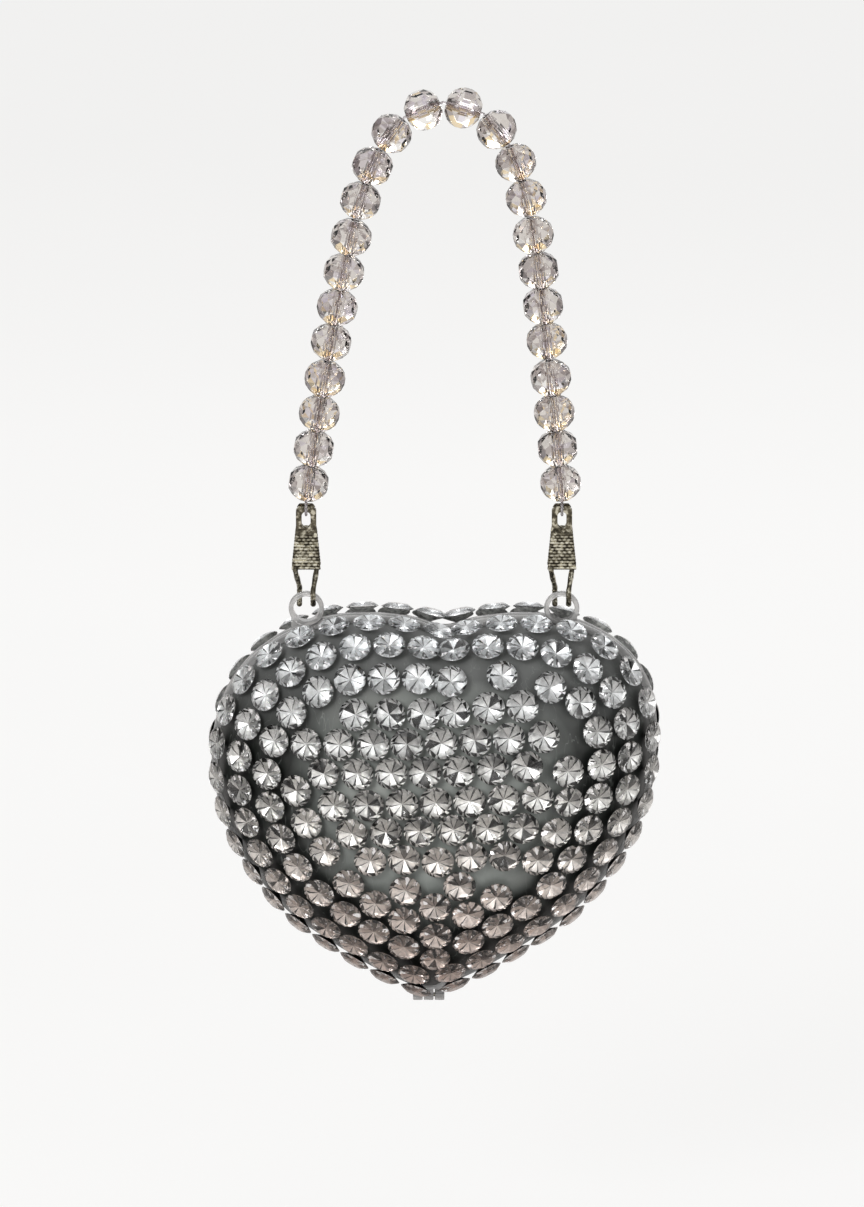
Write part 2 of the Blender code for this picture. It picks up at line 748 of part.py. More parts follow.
def thinned(rows, fixed, side):
    """Points moved apart, less those that still crowd their neighbours."""
    while True:
        rows, nearest = settle(rows, fixed, side)
        if nearest.min() >= LEAST_SPACING:
            return rows
        rows = np.delete(rows, nearest.argmin(), axis=0)


def settle(flat, fixed, side):
    """Points moved apart, from each other and from the fixed places, where they crowd, and the gap from each
    to its nearest neighbour."""
    for _ in range(RELAX_ROUNDS):
        here = on_dome(flat, side)
        apart = here[:, None] - np.concatenate([here, fixed])[None]
        gaps = np.linalg.norm(apart, axis=2)
        gaps[gaps == 0] = 1.0
        push = np.clip(STONE_SPACING - gaps, 0, None) * PUSH_SHARE
        flat = flat + (apart / gaps[..., None] * push[..., None]).sum(axis=1)[:, [0, 2]]
    return flat, gaps.min(axis=1)


def flat_map(places, side):
    """Places on a dome as they lie on a flat map drawn from behind the seam, where none hides another."""
    arms = np.array(places) - (HEART_X + HEART.pole[0], -side * HALF_DEPTH / 2, HEART_Z + HEART.pole[1])
    arms /= np.linalg.norm(arms, axis=1)[:, None]
    return arms[:, [0, 2]] / (1 + side * arms[:, 1:2])


def stone_rings(side, seed, ground):
    """Each stone's foot, on the film's outer face, and its table, as rings of corners."""
    draw = random.Random(seed + 1)
    corners = np.arange(STONE_SIDES) * math.tau / STONE_SIDES
    for turn, rise in stone_places(side, seed):
        out = HEART.normal(turn, rise, side)
        middle = HEART.place(turn, rise, side)
        across = np.cross(out, (0, 0, 1))
        across /= np.linalg.norm(across)
        spun = corners + draw.uniform(0, math.tau)
        ring = np.outer(np.cos(spun), across) + np.outer(np.sin(spun), np.cross(out, across))
        foot = []
        for corner in middle + ring * STONE_FOOT:
            near, normal, _, _ = ground.find_nearest(Vector(corner))
            foot.append(near + normal * FILM)
        yield foot, middle + ring * STONE_TABLE + out * STONE_RISE


def build_stones(name, side, seed):
    """The stones of one half, set in the thin film of glue that makes them one piece: the film's inner sheet,
    its edge, and an outer sheet that follows it in bare places and is split round the feet of the stones."""
    inner = dome(name + "_ground", (HEART.degrees_of(COAT_EDGE), *RING_DEGREES[1:]), side, CLEARANCE, TOOLS)
    ground = BVHTree.FromPolygons(
        [vertex.co for vertex in inner.data.vertices], [face.vertices for face in inner.data.polygons]
    )
    coat = bmesh.new()
    coat.from_mesh(inner.data)
    bpy.data.objects.remove(inner)
    coat.verts.ensure_lookup_table()
    coat.normal_update()
    count = len(HEART.outline_turns)
    low = coat.verts[:count]
    edge = [coat.verts.new(vertex.co + vertex.normal * FILM) for vertex in low]
    lifted = [vertex.co + vertex.normal * FILM for vertex in coat.verts[count:-count]]
    sheet = list(edge)
    outlines = [list(range(count))]
    for foot, table in stone_rings(side, seed, ground):
        middle = sum(foot, Vector()) / STONE_SIDES
        lifted = [place for place in lifted if (place - middle).length > STONE_FOOT + FILM]
        outlines.append(list(range(len(sheet), len(sheet) + STONE_SIDES)))
        feet = [coat.verts.new(place) for place in foot]
        tops = [coat.verts.new(place) for place in table]
        sheet += feet
        coat.faces.new(tops)
        for k in range(STONE_SIDES):
            coat.faces.new((feet[k - 1], feet[k], tops[k], tops[k - 1]))
    for k in range(count):
        coat.faces.new((low[k - 1], low[k], edge[k], edge[k - 1]))
    sheet += [coat.verts.new(place) for place in lifted]
    flat = [Vector(place) for place in flat_map([vertex.co for vertex in sheet], side)]
    outlines = [anticlockwise(outline, flat) for outline in outlines]
    _, _, triangles, sources, _, owners = delaunay_2d_cdt(flat, [], outlines, INSIDE_ONLY, 0.0)
    for triangle, owner in zip(triangles, owners):
        if owner == [0]:
            coat.faces.new([sheet[sources[k][0]] for k in triangle])
    bmesh.ops.recalc_face_normals(coat, faces=coat.faces)
    made = add_mesh(name, coat, PARTS)
    made.data.materials.append(STONE)


def anticlockwise(outline, flat):
    area = sum(flat[a].cross(flat[b]) for a, b in zip(outline, outline[1:] + outline[:1]))
    return outline if area > 0 else outline[::-1]


def build_pin():
    _, outer = hinge_spans(1)[1]
    pin = add_mesh("hinge_pin", drum(PIN_RADIUS, -outer, outer, PIN_SIDES), PARTS, Matrix.Translation(HINGE))
    pin.data.materials.append(NICKEL)


clear_scene()
PARTS = collection(NAME)
TOOLS = collection("cutters")

GLASS = material("bead_glass", (0.86, 0.83, 0.84), 0.04, alpha=0.5)
CORD = material("cord_clear", (0.80, 0.78, 0.82), 0.3)
NICKEL = material("aged_nickel", (0.42, 0.40, 0.33), 0.32, metallic=1.0)
CLEAR = material("moulded_shell", (0.30, 0.32, 0.30), 0.2)
STONE = material("cut_stone", (0.62, 0.61, 0.62), 0.08)

PLACES, ROOM = strand_places()
FEET = {"left": fold_centre(PLACES[0]), "right": fold_centre(PLACES[-1])}
EYELETS = {
    label: Vector((foot.x, 0, foot.z - CLIP_DROP - PIVOT_RISE)) for label, foot in FEET.items()
}
HEART_X = (FEET["left"].x + FEET["right"].x) / 2
EYELET_X = (FEET["right"].x - FEET["left"].x) / 2
SHOULDER = heart_outline(RIM_OUT)
SHOULDER_Z = float(np.interp(EYELET_X, SHOULDER[: OUTLINE_STEPS // 2, 0], SHOULDER[: OUTLINE_STEPS // 2, 1]))
HEART_Z = EYELETS["right"].z - EYELET_RISE - SHOULDER_Z
HEART = Heart()
TIP = heart_outline()[OUTLINE_STEPS]
HINGE = Vector((HEART_X + TIP[0], 0, HEART_Z + TIP[1] - HINGE_DROP))

build_beads(PLACES, ROOM)
build_cords(PLACES)
for LABEL, FOOT in FEET.items():
    build_arm(f"{LABEL}_clip_front_arm", FOOT, -1)
    build_arm(f"{LABEL}_clip_rear_arm", FOOT, 1)
build_shell("back_shell", 1)
build_shell("front_shell", -1)
build_stones("back_stones", 1, 13)
build_stones("front_stones", -1, 11)
build_pin()
bpy.context.view_layer.update()
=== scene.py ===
"""Looks for the heart clutch: cut stones with foiled backs, glass beads on a clear cord, clear moulded shells
and aged pinch clips, each built where its CAD piece lies. Metres, +Z up, the front toward -Y."""

import json
import math
import random

import bmesh
import bpy
import numpy as np
from mathutils import Matrix, Vector


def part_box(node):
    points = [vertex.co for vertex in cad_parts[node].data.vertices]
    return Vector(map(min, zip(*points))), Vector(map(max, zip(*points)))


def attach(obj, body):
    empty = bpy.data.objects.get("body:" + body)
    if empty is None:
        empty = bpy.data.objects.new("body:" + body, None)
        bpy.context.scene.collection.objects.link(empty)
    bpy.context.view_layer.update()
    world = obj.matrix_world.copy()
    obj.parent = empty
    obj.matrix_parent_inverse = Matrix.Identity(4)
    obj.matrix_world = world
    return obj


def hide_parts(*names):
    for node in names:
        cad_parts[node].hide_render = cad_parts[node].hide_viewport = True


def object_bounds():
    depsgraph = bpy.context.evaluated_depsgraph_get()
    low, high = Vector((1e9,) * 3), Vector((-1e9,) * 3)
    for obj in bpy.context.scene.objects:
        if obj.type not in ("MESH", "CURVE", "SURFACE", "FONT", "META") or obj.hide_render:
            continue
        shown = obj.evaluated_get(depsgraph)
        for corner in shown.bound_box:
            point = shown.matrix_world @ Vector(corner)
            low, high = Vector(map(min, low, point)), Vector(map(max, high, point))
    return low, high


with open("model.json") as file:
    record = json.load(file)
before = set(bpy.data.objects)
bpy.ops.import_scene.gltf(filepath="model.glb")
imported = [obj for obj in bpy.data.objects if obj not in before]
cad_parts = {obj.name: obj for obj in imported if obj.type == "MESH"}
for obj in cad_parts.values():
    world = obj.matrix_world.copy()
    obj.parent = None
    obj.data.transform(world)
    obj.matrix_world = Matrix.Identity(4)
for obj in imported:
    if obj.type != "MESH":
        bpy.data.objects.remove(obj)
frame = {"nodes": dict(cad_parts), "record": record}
CAD_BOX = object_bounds()

# The view: the frame's height at the seam, how far off the camera stands, its degrees downward, its sensor in
# millimetres and where it aims
FRAME_HEIGHT = 0.2973
CAMERA_DISTANCE = 3.0
CAMERA_TILT = 15.0
SENSOR = 36.0
AIM = (-0.0036, 0.0, -0.12647)

# The floor: its greys by noise, how much of it glows white to the camera, and the colours that mirrors and
# glass see there, by distance from the part: a dimmer painted reflection with a painted shadow near the part
FLOOR_DROP = 0.07
FLOOR_SIZE = 60.0
FLOOR_GREYS = ((0.3, 0.80), (0.7, 0.84))
FLOOR_WHITE = (1.0, 0.995, 0.985, 1.0)
FLOOR_GLOW_SHARE = 0.78
FLOOR_MIRROR_SHARE = 0.85
MIRRORED_SHADOW_NEAR = 0.08
MIRRORED_SHADOW_FAR = 0.20
MIRRORED_SHADOW_COLOURS = ((0.0, (0.44, 0.40, 0.38)), (1.0, (0.75, 0.72, 0.70)))

# The studio round the part: its levels by how far a ray turns aside, backward and up, and its strength for
# matt surfaces, for mirrors and glass, and for the camera
ASIDE_LEVELS = ((0.0, 1.0), (0.45, 1.0), (0.72, 0.16), (0.86, 0.10), (0.95, 0.8))
BACKWARD_LEVELS = ((0.0, 0.75), (0.1, 1.0), (0.3, 1.0), (1.0, 1.0))
UPWARD_LEVELS = ((0.0, 0.4), (0.4, 0.85), (0.5, 1.0), (1.0, 1.0))
STUDIO_STRENGTHS = (0.5, 1.0, 1.0)

# Lamps: name, place from where the camera aims, size and watts
LAMPS = (
    ("key", (-0.45, -0.75, 0.45), 0.35, 5.0),
    ("fill", (0.7, -0.6, 0.15), 0.6, 2.4),
    ("back", (0.1, 0.8, 0.5), 0.5, 2.4),
)

# Shells
WALL = 0.0016
RIM_OUT = 0.002
RIM_IN = 0.0004
RIM_THICKNESS = 0.0022
SEAM_GAP = 0.0003
RIM_ROUND = 0.00045
THUMB_NOTCH = 0.0016
HEART_WIDTH = 0.1058
HEART_HEIGHT = 0.0922
HALF_DEPTH = 0.0245
POLE_RADIUS = 0.045
POLE_SHARE = 0.42
DOME_POWER = 3.0
OUTLINE_STEPS = 90
OUTLINE_SPLITS = 12
DOME_RINGS = 34
WALL_FIRST_RISE = 2.0
DOME_SMOOTH = 40
RIM_SMOOTH = 35
CORNER_TURNS = (0, 30, 60, 90)
OVERRUN = 0.001
WELD = 0.000001
OUTLINE_SHARES = (
    (0.0, 0.034),
    (0.17, 0.010),
    (0.36, 0.0),
    (0.54, 0.009),
    (0.70, 0.040),
    (0.86, 0.108),
    (0.965, 0.208),
    (1.0, 0.335),
    (0.975, 0.465),
    (0.90, 0.583),
    (0.78, 0.692),
    (0.63, 0.790),
    (0.45, 0.864),
    (0.25, 0.936),
    (0.10, 0.978),
    (0.0, 1.0),
)
MIDLINE_SHARES = ((0.0, 0.055), (0.335, 0.0), (1.0, -0.025))
WALL_START = SEAM_GAP / 2 + RIM_THICKNESS / 2
COAT_GAP = 0.0003
COAT_EDGE = SEAM_GAP / 2 + RIM_THICKNESS + 2 * COAT_GAP
FILM = 0.0003

# Eyelets and hinge
EYELET_RADIUS = 0.00435
EYELET_HOLE = 0.0032
EYELET_THICKNESS = 0.0018
NOTCH_GAP = 0.0004
NECK_INSET = 0.0003
SHOULDER_SHARE = 0.2
KNUCKLE_RADIUS = 0.0014
KNUCKLE_WIDTH = 0.0024
PIN_BORE = 0.0008
LEAF_REACH = 0.0012
LEAF_GAP = 0.0003
EYELET_SIDES = 64
KNUCKLE_SIDES = 32
NOTCH_SIDES = 32
PIN_SIDES = 24
DRUM_ROUNDS = 3

# Stones: radii, and drops measured down from the table
TABLE_RADIUS = 0.0026
GEM_TABLE = 0.0023
GEM_STAR = 0.0032
GEM_STAR_DROP = 0.0004
GEM_GIRDLE = 0.0040
GEM_GIRDLE_DROP = 0.00095
GEM_GIRDLE_BAND = 0.00018
GEM_POINT_DROP = 0.0023
CUP_DROP = 0.0031
GEM_RISE = 0.0037
GEM_MIDDLE_RADIUS = 0.0029
GEM_GROOVE = 0.00014
FOIL_GAP = -0.00004
CUP_GAP = 0.0001
GEM_FOLD = 8
TABLE_CORNERS = 6
TABLE_MERGE = 0.000002
TABLE_SLACK = 0.02
FLAT = 0.99999

# Stones in bare places of the coat: the least way to the next stone, their size, and the grid of the search
STONE_ROOM = 0.0074
SMALLER_STONE = 0.94
SEARCH_TURNS = 180
SEARCH_RISES = 60
SEARCH_LAST_RISE = 88.0

# Foil behind a stone: widths of its wide and thin spokes beside each other, how often a facet's tone is
# swapped, the tones of bright and dark facets, which are painted reflections, and of the cup, which is
# painted shade, what facing up adds to a tone as painted light (everywhere, more at the part's sides, more
# underneath, and the same to every facet of a stone on top), and how far up a stone has to face for a pale
# cup, which is painted light
WIDE_SPOKES = (1.1, 1.7)
THIN_SPOKES = (0.2, 0.5)
SWAPPED_SHARE = 0.07
BRIGHT_EDGE_SHARE = 0.5
BRIGHT_TONES = (0.56, 0.74, 0.88, 1.0)
DARK_TONES = (0.02, 0.3)
SHADED_CUP_TONE = 0.2
PAINTED_UP_LIGHT = 0.25
PAINTED_UP_LIGHT_ASIDE = 1.1
PAINTED_UP_LIGHT_BELOW = 1.4
PAINTED_TOP_LIGHT = 0.34
LIT_CUP_RISE = 0.1

# Beads
BEAD_RADIUS = 0.005
BEAD_LENGTH = 0.0086
BEAD_SHOULDER_RADIUS = 0.0038
BEAD_SHOULDER_SETBACK = 0.0011
BEAD_WAIST_RADIUS = 0.0047
BEAD_WAIST_SETBACK = 0.0023
BEAD_END_RADIUS = 0.0021
BEAD_GIRDLE = 0.0016
BEAD_FOLD = 10
BORE_RADIUS = 0.00105
BEAD_EDGE = 0.00005
BEAD_EDGE_DEGREES = 12
# Glass tints; the darkest and the peach-coloured one are painted shade and a painted warm reflection
BEAD_TINTS = {
    "clear": (0.93, 0.90, 0.86),
    "lilac": (0.74, 0.69, 0.77),
    "smoke": (0.42, 0.37, 0.36),
    "peach": (0.90, 0.63, 0.30),
    "dusk": (0.16, 0.13, 0.13),
}

# Weights of the tints on facets that face aside, that face down and a little aside, and on the rest: painted
# shade aside, a painted warm reflection below, and the glass's own tints on the rest
ASIDE = 0.7
DOWN = 0.25
LITTLE_ASIDE = 0.2
ASIDE_PAINTED_SHADE_TINTS = {"clear": 2, "smoke": 4, "dusk": 2.4}
DOWN_PAINTED_REFLECTION_TINTS = {"clear": 2, "peach": 6, "smoke": 1}
OTHER_TINTS = {"clear": 6, "lilac": 1.3, "smoke": 1.7}
BORE_PALE = (0.97, 0.96, 0.96, 1.0)
BORE_DARK = (0.24, 0.18, 0.17, 1.0)
BORE_DARK_EVERY = 4

# Clips
FOLD_RADIUS = 0.0009
SHEET = 0.0006
CLIP_WIDTH = 0.005
CLIP_GAP = 0.0003
ARCH_RADIUS = 0.0022
SLOT_WIDTH = 0.0022
SLOT_TOP = 0.0007
SLOT_BOTTOM = 0.0049
PAD_TOP = 0.0062
PAD_BOTTOM = 0.015
PAD_TOP_WIDTH = 0.0054
PAD_BOTTOM_WIDTH = 0.0072
PAD_OFFSET = 0.0023
RIDGE_DEPTH = 0.0003
RIDGE_COUNT = 11
WEAVE_COUNT = 5
LEG_RADIUS = 0.00065
LEG_TOP_OFFSET = 0.0026
LEG_FOOT_OFFSET = 0.0017
HOOK_RADIUS = 0.00245
CLIP_DROP = 0.0219
HOOK_DEGREES = (35, 10, -15, -40, -65, -90, -110)
PIVOT_RISE = 0.0036
FOLD_STEP = 10
EYE_STEPS = 28
FLARE_STEPS = 6
ARCH_SHARE = 0.62
SHEET_COLUMNS = 4
SHEET_EDGE = 0.3
SHEET_EDGE_DEGREES = 50
RIB_POWER = 0.5
WEAVE_POWER = 0.6
WEAVE_SHARE = 0.55
PAD_COLUMNS = 40
PAD_ROWS = 8 * RIDGE_COUNT
PAD_FRAME_SIDES = 12
PAD_FRAME_ENDS = 20
CLIP_SMOOTH = 60
LEG_SPLITS = 6
LEG_SIDES = 14
LEG_WOBBLE = 0.05
LEG_WAVES = (5.0, 1.7)
LEG_TIP_SHARES = (0.85, 0.5, 0.15)
LEG_TIP_STEP = 0.3

# How rubbed the metal is, from 0 to 1, and how sharply a pad's wear and painted highlight keep to its high
# points
SHEET_WORN = 0.12
LEG_WORN = 0.15
PAD_WEAR_AND_HIGHLIGHT_POWER = 4

# Materials: stops of ramps, each with its colour or its grey
# Painted reflection on the foil by height: darker and warmer toward the tip, cooler at the top
FOIL_REFLECTION_BY_HEIGHT = (
    (0.0, (0.62, 0.48, 0.42)),
    (0.28, (0.88, 0.78, 0.72)),
    (0.52, (0.99, 0.97, 0.93)),
    (1.0, (0.96, 0.98, 1.0)),
)
# Painted reflections: a foil facet's tone turned into its grey
FOIL_BY_TONE = ((0.0, 0.006), (0.35, 0.06), (0.6, 0.68), (1.0, 1.0))
FOIL_SPECKS = ((0.38, 0.2), (0.60, 1.0))
FOIL_SPECK_SHARE = 0.30
# Painted light on the cups of stones that face up
LIT_CUP_COLOURS = ((0.36, 0.30), (0.62, (0.86, 0.86, 0.83)))
GEM_COLOURS = ((0.3, (0.97, 0.98, 0.98)), (0.7, 1.0))
BEAD_CLOUDS = ((0.3, 0.90), (0.7, 1.0))
CORD_COLOURS = ((0.35, (0.52, 0.46, 0.47)), (0.65, (0.90, 0.88, 0.90)))
RIM_COLOURS = ((0.3, (0.50, 0.495, 0.49)), (0.7, (0.82, 0.81, 0.80)))
# The wall's greys: pale with the glue's haze and painted light, dark with painted shade, lighter at the top
WALL_HAZE_AND_PAINTED_LIGHT = ((0.30, (0.20, 0.218, 0.203)), (0.55, (0.32, 0.34, 0.318)), (0.75, (0.46, 0.47, 0.44)))
WALL_PAINTED_SHADE = ((0.30, (0.008, 0.009, 0.008)), (0.75, (0.030, 0.033, 0.030)))
WALL_TOP = (0.16, 0.165, 0.16, 1.0)
WALL_TOP_SHARE = 0.3
WALL_PALE_FROM = 0.82
SCRATCHES = ((0.0, 0.0), (0.494, 0.0), (0.5, 0.35), (0.506, 0.0))
SCRATCH_COLOUR = (0.34, 0.36, 0.34, 1.0)
SCRATCH_LEAN = (0.0, 0.5, 0.0)
SCRATCH_STRETCH = (9.0, 9.0, 0.9)
# Nickel's patina, whose pale spots are partly painted glints, and its rubbed colour, which on the pads is
# partly a painted highlight
NICKEL_PATINA_AND_GLINTS = ((0.40, (0.018, 0.012, 0.008)), (0.52, (0.12, 0.10, 0.06)), (0.64, (0.74, 0.70, 0.56)))
NICKEL_RUBBED_AND_HIGHLIGHT = ((0.3, (0.42, 0.38, 0.26)), (0.6, (0.86, 0.83, 0.70)))


def add_node(tree, kind, inputs=(), **settings):
    """Adds a node to a tree; its inputs are values or outputs of other nodes."""
    made = tree.nodes.new("ShaderNode" + kind)
    for key, value in settings.items():
        setattr(made, key, value)
    for key, value in dict(inputs).items():
        if isinstance(value, bpy.types.NodeSocket):
            tree.links.new(value, made.inputs[key])
        else:
            made.inputs[key].default_value = value
    return made


def set_stops(made, stops):
    """Sets a ramp node's stops, each a position and a colour or a grey."""
    for k, (position, colour) in enumerate(stops):
        stop = made.color_ramp.elements[k] if k < 2 else made.color_ramp.elements.new(position)
        stop.position = position
        stop.color = (*colour, 1.0) if isinstance(colour, tuple) else (colour, colour, colour, 1.0)
    return made.outputs["Color"]


class Shader:
    """A node material, with short calls to add and join nodes."""

    def __init__(self, name, **values):
        self.material = bpy.data.materials.new(name)
        self.material.use_nodes = True
        self.tree = self.material.node_tree
        self.surface = self.tree.nodes["Principled BSDF"]
        for key, value in values.items():
            self.surface.inputs[key.replace("_", " ")].default_value = value

    def node(self, kind, inputs=(), **settings):
        return add_node(self.tree, kind, inputs, **settings)

    def join(self, source, name):
        self.tree.links.new(source, self.surface.inputs[name])

    def place(self):
        return self.node("TexCoord").outputs["Object"]

    def noise(self, scale, detail=3.0, place=None):
        inputs = {"Vector": place or self.place(), "Scale": scale, "Detail": detail}
        return self.node("TexNoise", inputs).outputs["Fac"]

    def ramp(self, value, stops):
        """Colours by value."""
        return set_stops(self.node("ValToRGB", {"Fac": value}), stops)

    def mix(self, share, a, b, blend="MIX"):
        return self.node("Mix", {0: share, 6: a, 7: b}, data_type="RGBA", blend_type=blend).outputs[2]

    def bump(self, height, distance, strength=0.5):
        made = self.node("Bump", {"Height": height, "Distance": distance, "Strength": strength})
        self.join(made.outputs["Normal"], "Normal")

    def share(self, value, low, high):
        """How far a value lies between two others, from 0 to 1."""
        made = self.node("MapRange", {"Value": value, "From Min": low, "From Max": high})
        return made.outputs["Result"]

    def fit(self, value, low, high):
        """A value from 0 to 1 put between two others."""
        made = self.node("MapRange", {"Value": value, "To Min": low, "To Max": high})
        return made.outputs["Result"]


def foil_material():
    """The mirror backs of the stones: each facet has its own tone of painted reflection, and a painted
    reflection tints them cooler at the top and darker and warmer at the tip.
    """
    made = Shader("stone_foil", Metallic=1.0, Roughness=0.3)
    painted_light = made.node("Attribute", attribute_name="painted_light").outputs["Fac"]
    speck = made.noise(scale=1100.0, detail=2.0)
    height = made.node("SeparateXYZ", {"Vector": made.place()}).outputs["Z"]
    low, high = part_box("front_stones")[0].z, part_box("front_stones")[1].z
    # Painted reflection by height
    tint_and_painted_light = made.ramp(made.share(height, low, high), FOIL_REFLECTION_BY_HEIGHT)
    shade = made.ramp(painted_light, FOIL_BY_TONE)
    shade = made.mix(FOIL_SPECK_SHARE, shade, made.ramp(speck, FOIL_SPECKS), "MULTIPLY")
    made.join(made.mix(1.0, shade, tint_and_painted_light, "MULTIPLY"), "Base Color")
    return made.material


def lit_cup_material():
    """The pale backs of the upper stones, which show past the rim: painted light on the cups of stones that
    face up.
    """
    made = Shader("stone_lit_cup", Metallic=0.2, Roughness=0.45)
    speck = made.noise(scale=900.0, detail=3.0)
    made.join(made.ramp(speck, LIT_CUP_COLOURS), "Base Color")
    made.bump(speck, distance=0.00008, strength=0.6)
    return made.material


def gem_material():
    """Clear cut glass, with the faintest cloud."""
    made = Shader("stone_glass", Roughness=0.0, IOR=1.56, Transmission_Weight=1.0)
    cloud = made.noise(scale=260.0, detail=2.0)
    made.join(made.ramp(cloud, GEM_COLOURS), "Base Color")
    return made.material


def bead_material():
    """Clear glass whose facets carry smoky and lilac tints, with painted shade on facets that face aside and
    a painted warm reflection on facets that face down.
    """
    made = Shader("bead_glass", Roughness=0.01, IOR=1.54, Transmission_Weight=1.0)
    tint_and_painted_light = made.node("Attribute", attribute_name="tint_and_painted_light").outputs["Color"]
    cloud = made.ramp(made.noise(scale=420.0, detail=2.0), BEAD_CLOUDS)
    made.join(made.mix(1.0, tint_and_painted_light, cloud, "MULTIPLY"), "Base Color")
    return made.material


def cord_material():
    """Nylon line, seen through the beads as mauve-brown streaks."""
    made = Shader("cord_nylon", Roughness=0.25, IOR=1.5, Transmission_Weight=0.75)
    made.join(made.ramp(made.noise(scale=1500.0), CORD_COLOURS), "Base Color")
    return made.material


def rim_material():
    """Clear moulded plastic, slightly rubbed."""
    made = Shader("clear_plastic", IOR=1.49, Transmission_Weight=0.6)
    cloud = made.noise(scale=180.0, detail=4.0)
    made.join(made.ramp(cloud, RIM_COLOURS), "Base Color")
    made.join(made.fit(cloud, low=0.06, high=0.2), "Roughness")
    made.bump(made.noise(scale=700.0), distance=0.00005, strength=0.4)
    return made.material


def wall_material():
    """The smoky shell and glue between the stones: pale where it faces straight out, partly the glue's haze
    and partly painted light, darker toward the seam as painted shade, and paler again at the top, with fine
    light scratches."""
    made = Shader("smoky_shell", IOR=1.45)
    place = made.place()
    parts = made.node("SeparateXYZ", {"Vector": place})
    depth = made.node("Math", {0: parts.outputs["Y"]}, operation="ABSOLUTE").outputs[0]
    # Painted light and shade: pale where the wall faces straight out, dark toward the seam
    inner = made.share(depth, HALF_DEPTH * WALL_PALE_FROM, HALF_DEPTH)
    cloud = made.noise(scale=70.0, detail=5.0, place=place)
    haze_and_painted_light = made.ramp(cloud, WALL_HAZE_AND_PAINTED_LIGHT)
    painted_shade = made.ramp(cloud, WALL_PAINTED_SHADE)
    low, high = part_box("front_shell")[0].z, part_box("front_shell")[1].z
    top = made.share(parts.outputs["Z"], high - WALL_TOP_SHARE * (high - low), high)
    base = made.mix(inner, made.mix(top, painted_shade, WALL_TOP), haze_and_painted_light)
    turned = made.node("Mapping", {"Vector": place, "Rotation": SCRATCH_LEAN, "Scale": SCRATCH_STRETCH})
    streak = made.noise(scale=42.0, detail=2.0, place=turned.outputs["Vector"])
    line = made.ramp(streak, SCRATCHES)
    made.join(made.mix(line, base, SCRATCH_COLOUR), "Base Color")
    made.join(made.fit(cloud, low=0.3, high=0.55), "Roughness")
    made.bump(made.noise(scale=420.0, detail=4.0, place=place), distance=0.0001)
    return made.material


def nickel_material():
    """Aged nickel: pale champagne where it is rubbed, which on the pads' raised weave is partly a painted
    highlight, and brown in the hollows, with pale spots that are partly painted glints.
    """
    made = Shader("aged_nickel", Metallic=1.0)
    place = made.place()
    patina = made.noise(scale=900.0, detail=5.0, place=place)
    wear_and_highlight = made.node("Attribute", attribute_name="wear_and_highlight").outputs["Fac"]
    patina_and_glints = made.ramp(patina, NICKEL_PATINA_AND_GLINTS)
    rubbed_and_highlight = made.ramp(patina, NICKEL_RUBBED_AND_HIGHLIGHT)
    made.join(made.mix(wear_and_highlight, patina_and_glints, rubbed_and_highlight), "Base Color")
    made.join(made.fit(patina, low=0.42, high=0.2), "Roughness")
    made.bump(made.noise(scale=1400.0, detail=4.0, place=place), distance=0.00006, strength=0.6)
    return made.material


def seen_share(tree, straight, bent):
    """A share by the kind of ray: straight for the camera's, bent for those off mirrors and through glass,
    nothing for the rest."""
    path = add_node(tree, "LightPath")
    last = None
    for name, share in (("Is Glossy Ray", bent), ("Is Transmission Ray", bent), ("Is Camera Ray", straight)):
        scaled = add_node(tree, "Math", {0: path.outputs[name], 1: share}, operation="MULTIPLY")
        if last is not None:
            scaled = add_node(tree, "Math", {0: last, 1: scaled.outputs[0]}, operation="MAXIMUM")
        last = scaled.outputs[0]
    return last


def floor_material():
    """A pale floor that fades to white and keeps a soft shadow; mirrors and glass see a dimmer painted
    reflection of it, with a painted shadow near the part.
    """
    made = Shader("pale_floor", Roughness=0.7)
    cloud = made.noise(scale=6.0)
    made.join(made.ramp(cloud, FLOOR_GREYS), "Base Color")
    glow = made.node("Emission", {"Color": FLOOR_WHITE, "Strength": 1.0})
    share = seen_share(made.tree, FLOOR_GLOW_SHARE, 0.0)
    mixed = made.node("MixShader", {0: share, 1: made.surface.outputs[0], 2: glow.outputs[0]})
    # Painted shadow: the floor that mirrors and glass see is darker near the part
    reach = made.node("VectorMath", {0: made.place()}, operation="LENGTH").outputs["Value"]
    shade = made.ramp(made.share(reach, MIRRORED_SHADOW_NEAR, MIRRORED_SHADOW_FAR), MIRRORED_SHADOW_COLOURS)
    painted_shadow = made.node("Emission", {"Color": shade, "Strength": 1.0})
    share = seen_share(made.tree, 0.0, FLOOR_MIRROR_SHARE)
    mixed = made.node("MixShader", {0: share, 1: mixed.outputs[0], 2: painted_shadow.outputs[0]})
    made.tree.links.new(mixed.outputs[0], made.tree.nodes["Material Output"].inputs["Surface"])
    return made.material


def new_object(name, data):
    made = bpy.data.objects.new(name, data)
    bpy.context.scene.collection.objects.link(made)
    return made


def from_shape(name, shape, *materials):
    """An object from a bmesh, which is used up."""
    mesh = bpy.data.meshes.new(name)
    shape.to_mesh(mesh)
    shape.free()
    for material in materials:
        mesh.materials.append(material)
    return new_object(name, mesh)


def smooth(thing, degrees):
    """Smooth shading where faces meet at less than the angle."""
    thing.data.shade_smooth()
    thing.data.set_sharp_from_angle(angle=math.radians(degrees))


def bevel(thing, width, segments, degrees):
    """Breaks the edges at which faces meet at more than the angle."""
    edge = thing.modifiers.new("edge", "BEVEL")
    edge.width = width
    edge.segments = segments
    edge.limit_method = "ANGLE"
    edge.angle_limit = math.radians(degrees)


